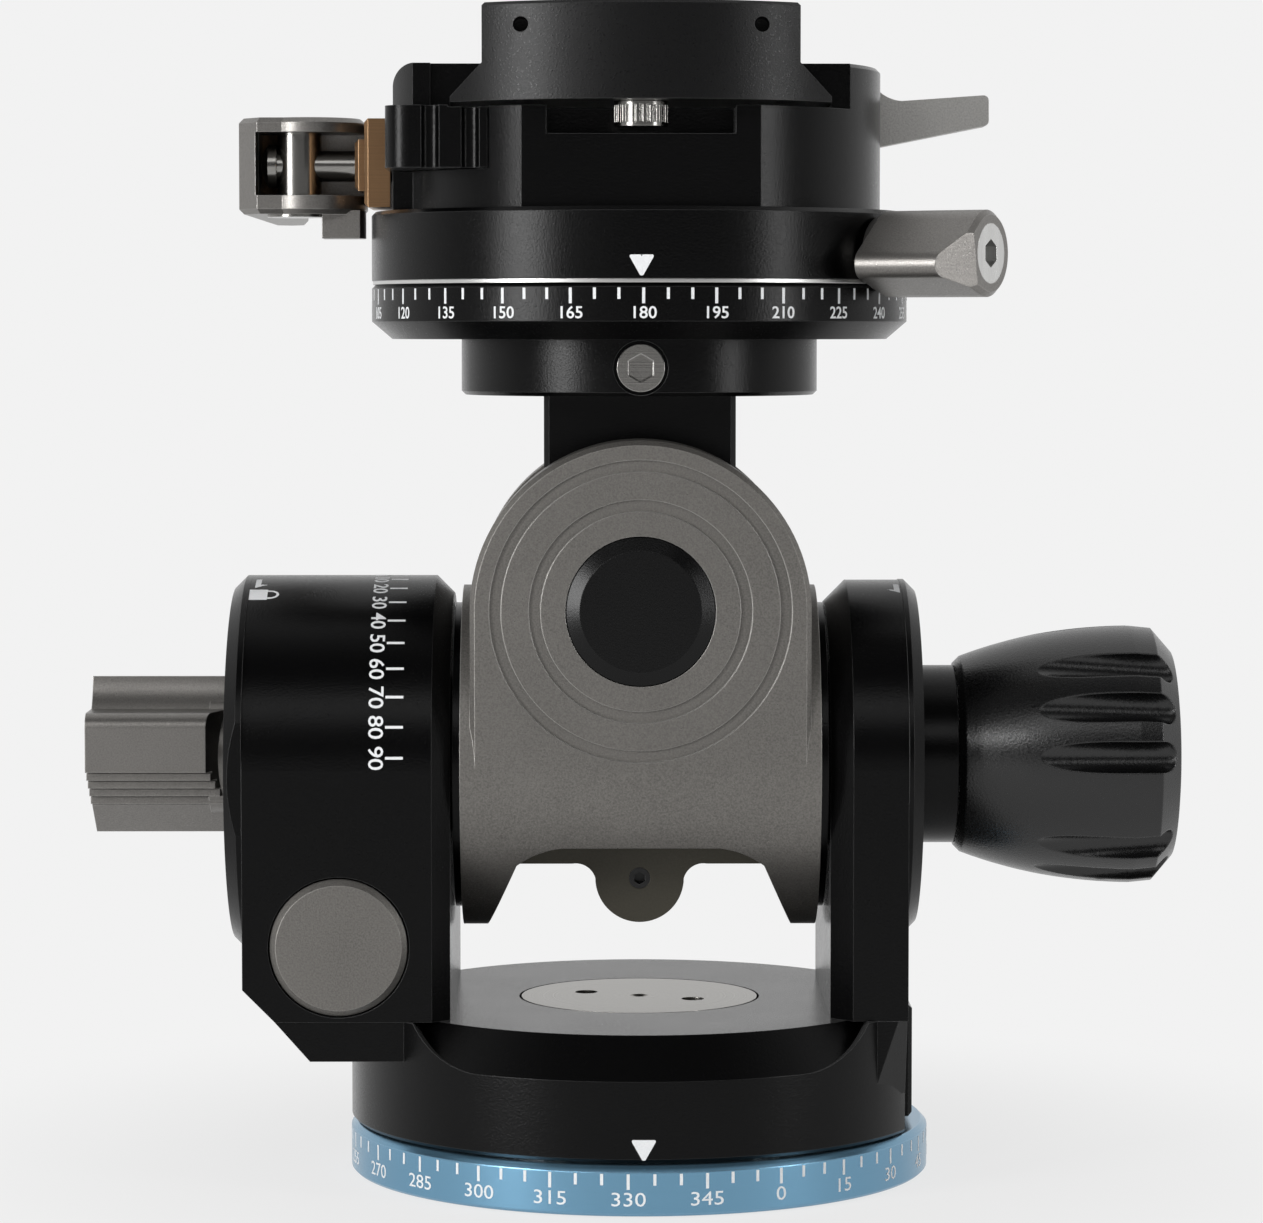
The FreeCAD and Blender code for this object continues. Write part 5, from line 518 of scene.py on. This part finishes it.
olive = blasted("olive_grey", base=(0.055, 0.05, 0.036), edge=(0.12, 0.11, 0.09), per_mm=4.0,
                depth=0.3, reach=0.15, gain=1.5, rough=0.5, Metallic=0.3)
dress(olive, "worm_adjust_plate")

rubber, tree, shader = new_material("pad_rubber", (0.018, 0.018, 0.018), Roughness=0.75)
where = add(tree, "TexCoord")
ribs = add(tree, "TexWave", {"Scale": 260.0}, bands_direction="Y", wave_profile="SIN")
dots = use_group(tree, grain, Grain_per_mm=7.0, Contrast=0.8)
heights = add(tree, "Math", {1: GRAIN_ON_RIBS}, operation="MULTIPLY_ADD")
ribbed = add(tree, "Bump", {"Strength": 0.8, "Distance": RIB_DEPTH})
tone = colour_mix(tree, A=(0.012, 0.012, 0.012), B=(0.03, 0.03, 0.03))
wire(tree, where, "Object", ribs, "Vector")
wire(tree, dots, "Height", heights, 0)
wire(tree, ribs, "Fac", heights, 2)
wire(tree, heights, 0, ribbed, "Height")
wire(tree, ribbed, "Normal", shader, "Normal")
wire(tree, dots, "Shade", tone, "Factor")
wire(tree, tone, "Result", shader, "Base Color")
dress(rubber, "plate_pads")

# %% [markdown]
# ## Printed marks
#
# The scales are burnt into the anodising by a laser, which leaves a thin white line. Here they
# are solids of their own, a few hundredths of a millimetre proud, and they ride on the ring or
# housing that carries them. All marks are drawn flat first: u runs along the scale, v across it
# and w out of the surface. A second function then bends them round their cylinder.

# %% Finish: white marks
ink, tree, shader = new_material("white_mark", (0.72, 0.73, 0.74), Roughness=0.55)
dots = use_group(tree, grain, Grain_per_mm=9.0, Contrast=1.0)
tone = colour_mix(tree, A=(0.6, 0.61, 0.62), B=(0.84, 0.85, 0.86))
wire(tree, dots, "Shade", tone, "Factor")
wire(tree, tone, "Result", shader, "Base Color")
print("material:", ink.name)

# %% [markdown]
# ## Helpers for the marks
#
# A mark is a thin flat solid: a bar, a wedge or a digit. The digits come from Blender's own font,
# in which they are 0.7 high and the round ones dip a little below the line. All marks of one
# scale are joined into one piece.

# %% Helpers for flat marks
MARK_SINK = 0.03 * MM
MARK_PROUD = 0.02 * MM
WELD = 0.0001 * MM
DIGIT_HEIGHT = 0.7
DIGIT_DIP = 0.009
DIGIT_CURVE_STEPS = 3
DIGIT_THICKNESS = 0.5


def flat_mark(corners, u=0.0, v=0.0):
    """A flat bar or wedge drawn by its corners, as (points, faces) with a thin edge."""
    count = len(corners)
    points = [Vector((u + x, v + y, w)) for w in (-MARK_SINK, MARK_PROUD) for x, y in corners]
    faces = [list(range(count))[::-1], list(range(count, 2 * count))]
    for i in range(count):
        j = (i + 1) % count
        faces.append([i, j, count + j, count + i])
    return points, faces


def bar(width, height, u, v_top):
    """A tick that hangs down from v_top."""
    half = width / 2
    return flat_mark([(-half, -height), (half, -height), (half, 0.0), (-half, 0.0)], u, v_top)


def word(text, height, u, v_low, squeeze=1.0, bold=0.0):
    """Digits from Blender's own font, of that height, centred on u and standing on v_low."""
    curve = bpy.data.curves.new("word", "FONT")
    curve.body = text
    curve.align_x = "CENTER"
    curve.resolution_u = DIGIT_CURVE_STEPS
    curve.offset = bold
    curve.extrude = DIGIT_THICKNESS
    holder = bpy.data.objects.new("word", curve)
    bpy.context.scene.collection.objects.link(holder)
    mesh = bpy.data.meshes.new_from_object(holder.evaluated_get(
        bpy.context.evaluated_depsgraph_get()))
    scale = height / DIGIT_HEIGHT
    points = [Vector((u + p.co.x * scale * squeeze, v_low + (p.co.y + DIGIT_DIP) * scale,
                      MARK_PROUD if p.co.z > 0 else -MARK_SINK)) for p in mesh.vertices]
    faces = [list(f.vertices) for f in mesh.polygons]
    bpy.data.objects.remove(holder)
    bpy.data.curves.remove(curve)
    bpy.data.meshes.remove(mesh)
    return points, faces


def marks_piece(name, parts, bend, body):
    """One piece made of many flat marks, each bent into place, that rides on a body."""
    mesh = bpy.data.meshes.new(name)
    points, faces = [], []
    for part_points, part_faces in parts:
        start = len(points)
        points += [bend(p) for p in part_points]
        faces += [[start + i for i in f] for f in part_faces]
    mesh.from_pydata(points, [], faces)
    tidy = bmesh.new()
    tidy.from_mesh(mesh)
    bmesh.ops.remove_doubles(tidy, verts=tidy.verts, dist=WELD)
    bmesh.ops.recalc_face_normals(tidy, faces=tidy.faces)
    tidy.to_mesh(mesh)
    tidy.free()
    mesh.materials.append(ink)
    piece = bpy.data.objects.new(name, mesh)
    bpy.context.scene.collection.objects.link(piece)
    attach(piece, body)
    print(name, "has", len(parts), "marks and rides on", body)


def about_z(radius):
    """Bends flat marks round an upright cylinder, u = 0 at the front."""
    def bend(p):
        angle = p.x / radius
        out = radius + p.z
        return Vector((out * math.sin(angle), -out * math.cos(angle), p.y))
    return bend


# %% [markdown]
# ## Scales of the two pans
#
# Both scales count every 5 degrees with a short line and every 15 with a long one and a number.
# The lower one is on the blue ring, and the fork's pointer shows where the head looks. The upper
# one is on the black ring under the turning stage. Neither stands exactly on a number: each is
# turned a little, as a head in use is.

# %% Pan scales
DEGREES_PER_LINE = 5
DEGREES_PER_NUMBER = 15
LONG_LINE = 1.55 * MM
SHORT_LINE = 1.13 * MM
LINE_WIDTH = 0.3 * MM
LINE_TOP_TO_NUMBER = 1.84 * MM


def pan_scale(name, body, radius, top, front_value, turned, size, squeeze, bold):
    """A circle of lines that hang from top, with front_value in front, turned to the left."""
    parts = []
    half = 180 // DEGREES_PER_LINE
    for step in range(-half, half):
        angle = math.radians(DEGREES_PER_LINE * step) - math.radians(turned)
        u = angle * radius
        value = (front_value + DEGREES_PER_LINE * step) % 360
        numbered = value % DEGREES_PER_NUMBER == 0
        parts.append(bar(LINE_WIDTH, LONG_LINE if numbered else SHORT_LINE, u, top))
        if numbered:
            v_low = top - LINE_TOP_TO_NUMBER - size
            parts.append(word(str(value), size, u, v_low, squeeze, bold))
    marks_piece(name, parts, about_z(radius), body)


pan_scale("lower_scale", "base", BASE_RADIUS, base_high.z - 0.75 * MM, front_value=330,
          turned=2.55, size=1.38 * MM, squeeze=1.23, bold=0.0)
pan_scale("upper_scale", "roll_neck", UPPER_RADIUS, ring_high.z - 0.5 * MM, front_value=180,
          turned=-0.4, size=1.17 * MM, squeeze=1.06, bold=0.012)

# %% [markdown]
# ## Pointers
#
# A white triangle stands above each pan scale, on the part that turns over it. Its upper corners
# are rounded and its tip is blunt.

# %% Pointers
POINTER_HALF = 1.18 * MM
POINTER_HEIGHT = 2.05 * MM
TIP_HALF = 0.16 * MM
TIP_RISE = 0.03 * MM
CORNER = 0.14 * MM
CORNER_STEPS = ((0.0, 1.5), (0.1, 0.3), (1.0, 0.0))

pan_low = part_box("pan_body")[0]
stage_low, stage_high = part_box("upper_pan_body")


def pointer(name, body, radius, side, low):
    """A white triangle with its tip down, above a scale."""
    right = [(TIP_HALF, TIP_RISE)] + [(POINTER_HALF - CORNER * x, POINTER_HEIGHT - CORNER * y)
                                      for x, y in CORNER_STEPS]
    left = [(-x, y) for x, y in reversed(right)]
    marks_piece(name, [flat_mark([(0.0, 0.0)] + right + left, side, low)], about_z(radius), body)


pointer("lower_pointer", "fork", -pan_low.y, 0.2 * MM, pan_low.z + 0.3 * MM)
pointer("upper_pointer", "upper_pan", stage_high.x, 0.0, stage_low.z + 0.27 * MM)

# %% [markdown]
# ## Scale of the tilt axis
#
# The left housing is a cylinder about the tilt axis. Its numbers stand on end and read downwards,
# from 0 on top to 90 nearly at the front. For these marks u runs down the front and v towards
# the block.

# %% Tilt scale
TILT_LINE_X = -25.75 * MM
TILT_LINE_LENGTH = 1.8 * MM
TILT_LINE_WIDTH = 0.28 * MM
TILT_DIGIT = 1.5 * MM
TILT_DIGIT_GAP = 0.2 * MM
TILT_SQUEEZE = 1.16
TILT_BOLD = 0.008
TILT_END = 90
TILT_STEP = 10
TILT_FRONT = math.radians(86.0)


def about_x(radius):
    """Bends flat marks round an arm: u runs down the front from the top."""
    def bend(p):
        angle = p.x / radius
        out = radius + p.z
        return Vector((p.y, -out * math.sin(angle), TILT_Z + out * math.cos(angle)))
    return bend


tilt_parts = []
for value in range(0, TILT_END + TILT_STEP, TILT_STEP):
    u = (TILT_FRONT * value / TILT_END) * HOUSING_RADIUS
    tilt_parts.append(bar(TILT_LINE_WIDTH, TILT_LINE_LENGTH, u, TILT_LINE_X + TILT_LINE_LENGTH))
    tilt_parts.append(word(str(value), TILT_DIGIT, u, TILT_LINE_X - TILT_DIGIT_GAP - TILT_DIGIT,
                           TILT_SQUEEZE, TILT_BOLD))
marks_piece("tilt_scale", tilt_parts, about_x(HOUSING_RADIUS), "fork")

# %% [markdown]
# ## Signs of the two locks
#
# Near the top of each arm half an arrow shows which way to turn for locking, and on the left one
# a padlock lies beside it. These marks are wide for the round face that they lie on, so they are
# drawn in narrow slices that follow it.

# %% Signs of the two locks
PADLOCK_U = 7.75 * MM
PADLOCK_X = -40.18 * MM
PADLOCK_LENGTH = 1.87 * MM
PADLOCK_HALF = 1.12 * MM
SHACKLE_HALF = 0.92 * MM
SHACKLE_LENGTH = 1.2 * MM
SHACKLE_BAR = 0.27 * MM
SHACKLE_STEPS = 8
SLICES = 5
WING_SLICES = 3
ARROW_TOP = 3.3 * MM
ARROW_TIP = 6.1 * MM
ARROW_BAR = 0.57 * MM
ARROW_WING = 1.25 * MM
ARROW_WING_RISE = 0.85 * MM
LEFT_ARROW_X = -39.7 * MM
RIGHT_ARROW_X = 26.9 * MM


def sliced(u_low, u_high, low_edge, high_edge, count=SLICES):
    """A mark in narrow slices across u, so that it lies on the round face between two edges."""
    cuts = [u_low + (u_high - u_low) * i / count for i in range(count + 1)]
    return [flat_mark([(a, low_edge(a)), (b, low_edge(b)), (b, high_edge(b)), (a, high_edge(a))])
            for a, b in zip(cuts, cuts[1:])]


def padlock():
    """A case with a bow of bars on its right."""
    end = PADLOCK_X + PADLOCK_LENGTH
    marks = sliced(PADLOCK_U - PADLOCK_HALF, PADLOCK_U + PADLOCK_HALF,
                   lambda u: PADLOCK_X, lambda u: end)
    inner = SHACKLE_HALF - SHACKLE_BAR
    turns = [math.pi * i / SHACKLE_STEPS for i in range(SHACKLE_STEPS + 1)]
    for side in (-1, 1):
        legs = sorted((side * inner, side * SHACKLE_HALF))
        marks += sliced(PADLOCK_U + legs[0], PADLOCK_U + legs[1], lambda u: end,
                        lambda u: end + SHACKLE_LENGTH - SHACKLE_HALF, 1)
    for a, b in zip(turns, turns[1:]):
        ring = [(r * math.cos(t), r * math.sin(t))
                for r, t in ((inner, a), (SHACKLE_HALF, a), (SHACKLE_HALF, b), (inner, b))]
        marks.append(flat_mark(ring, PADLOCK_U, end + SHACKLE_LENGTH - SHACKLE_HALF))
    return marks


def half_arrow(x, side):
    """A tail with its tip down and a wing on one side: +1 to the right, -1 to the left."""
    def wing_edge(u):
        return x + side * (ARROW_WING * (ARROW_TIP - u) / ARROW_WING_RISE)

    wing = ARROW_TIP - ARROW_WING_RISE
    tail = sliced(ARROW_TOP, wing, lambda u: x, lambda u: x + side * ARROW_BAR)
    return tail + sliced(wing, ARROW_TIP, lambda u: x, wing_edge, WING_SLICES)


marks_piece("left_lock_sign", padlock() + half_arrow(LEFT_ARROW_X, 1), about_x(HOUSING_RADIUS),
            "fork")
marks_piece("right_lock_sign", half_arrow(RIGHT_ARROW_X, -1), about_x(RIGHT_ARM_RADIUS), "fork")

# %% [markdown]
# ## The studio
#
# A pale floor and a pale room. Seen by the camera, through glass or in a mirror, the room is an
# even light grey, but towards the front it fades to the dark that lies behind a camera in a
# studio. Only mirrors see that end, and it keeps the black parts black. On the object itself the
# room throws just a soft fill. The floor mixes its own plain colour with the light grey: a little
# of its own near the object, which keeps the shadow, and none of it far away, so that it meets
# the room without a line.

# %% Floor and room
PALE = (0.887, 0.887, 0.887, 1.0)
DIM = (0.08, 0.08, 0.08, 1.0)
FILL = 0.27
FLOOR_HALF = 6.0
FLOOR_DROP = 0.0002
SHADOW_INSIDE, SHADOW_OUTSIDE = 0.033, 0.1
PALE_UNDER_SHADOW = 0.84
DIM_STARTS, DIM_FULL = 0.25, -0.45


def sees_room(tree):
    """1 for rays from the camera, a mirror or glass, 0 for the light that falls on things."""
    path = add(tree, "LightPath")
    either = add(tree, "Math", operation="MAXIMUM")
    any_of = add(tree, "Math", operation="MAXIMUM")
    wire(tree, path, "Is Camera Ray", either, 0)
    wire(tree, path, "Is Glossy Ray", either, 1)
    wire(tree, either, 0, any_of, 0)
    wire(tree, path, "Is Transmission Ray", any_of, 1)
    return any_of


floor_mesh = bpy.data.meshes.new("floor")
floor_mesh.from_pydata([(x * FLOOR_HALF, y * FLOOR_HALF, cad_low.z - FLOOR_DROP)
                        for x, y in ((-1, -1), (1, -1), (1, 1), (-1, 1))], [], [(0, 1, 2, 3)])
floor = bpy.data.objects.new("floor", floor_mesh)
bpy.context.scene.collection.objects.link(floor)

floor_paint, tree, shader = new_material("floor_paint", (0.8, 0.8, 0.8), Roughness=0.9)
glow = add(tree, "Emission", {"Color": PALE, "Strength": 1.0})
seen = sees_room(tree)
ground = add(tree, "TexCoord")
away = add(tree, "VectorMath", operation="LENGTH")
fade = add(tree, "MapRange", {"From Min": SHADOW_INSIDE, "From Max": SHADOW_OUTSIDE,
                              "To Min": PALE_UNDER_SHADOW, "To Max": 1.0},
           interpolation_type="SMOOTHSTEP")
share = add(tree, "Math", operation="MULTIPLY")
blend = add(tree, "MixShader")
wire(tree, ground, "Object", away, 0)
wire(tree, away, "Value", fade, "Value")
wire(tree, fade, "Result", share, 1)
wire(tree, seen, 0, share, 0)
wire(tree, share, 0, blend, 0)
wire(tree, shader, 0, blend, 1)
wire(tree, glow, 0, blend, 2)
wire(tree, blend, 0, tree.nodes["Material Output"], "Surface")
floor_mesh.materials.append(floor_paint)

world = bpy.data.worlds.new("room")
bpy.context.scene.world = world
world.use_nodes = True
tree = world.node_tree
fill = tree.nodes["Background"]
fill.inputs["Color"].default_value = (1.0, 1.0, 1.0, 1.0)
fill.inputs["Strength"].default_value = FILL
room = add(tree, "Background", {"Color": PALE, "Strength": 1.0})
dim = add(tree, "Background", {"Color": DIM, "Strength": 1.0})
look = add(tree, "TexCoord")
parts_of = add(tree, "SeparateXYZ")
front = add(tree, "MapRange", {"From Min": DIM_STARTS, "From Max": DIM_FULL},
            interpolation_type="SMOOTHSTEP")
mirrored = add(tree, "LightPath")
dimmed = add(tree, "Math", operation="MULTIPLY")
walls = add(tree, "MixShader")
wire(tree, look, "Generated", parts_of, 0)
wire(tree, parts_of, "Y", front, "Value")
wire(tree, front, "Result", dimmed, 0)
wire(tree, mirrored, "Is Glossy Ray", dimmed, 1)
wire(tree, dimmed, 0, walls, 0)
wire(tree, room, 0, walls, 1)
wire(tree, dim, 0, walls, 2)
blend = add(tree, "MixShader")
wire(tree, sees_room(tree), 0, blend, 0)
wire(tree, fill, 0, blend, 1)
wire(tree, walls, 0, blend, 2)
wire(tree, blend, 0, tree.nodes["World Output"], "Surface")
print("floor at", round((cad_low.z - FLOOR_DROP) / MM, 2), "mm")

# %% [markdown]
# ## Lamps
#
# Two tall soft boxes, a strong one to the left of the camera and a weaker one to the right, each
# make an upright band of light on the round black parts. On a cylinder such a band lies halfway
# between the camera's side and the lamp's. A small box high on the left lights the shoulder of
# the roll knob, and a wide weak one above the camera the round front of the two arms.

# %% Lamps
def soft_box(name, azimuth, elevation, distance, width, height, watts):
    """An area lamp round the object, that looks at its middle."""
    data = bpy.data.lights.new(name, "AREA")
    data.shape = "RECTANGLE"
    data.size = width
    data.size_y = height
    data.energy = watts
    lamp = bpy.data.objects.new(name, data)
    a, e = math.radians(azimuth), math.radians(elevation)
    middle = (cad_low + cad_high) / 2
    out = Vector((math.sin(a) * math.cos(e), -math.cos(a) * math.cos(e), math.sin(e)))
    lamp.location = middle + out * distance
    lamp.rotation_euler = out.to_track_quat("Z", "Y").to_euler()
    bpy.context.scene.collection.objects.link(lamp)
    print(name, watts, "W")


soft_box("left_box", -50.0, 5.0, distance=0.9, width=0.28, height=0.6, watts=8.0)
soft_box("right_box", 60.0, 8.0, distance=0.9, width=0.16, height=0.6, watts=3.0)
soft_box("front_box", -26.0, 20.0, distance=1.0, width=0.12, height=0.12, watts=0.9)
soft_box("top_box", 0.0, 34.0, distance=1.0, width=0.7, height=0.3, watts=1.1)
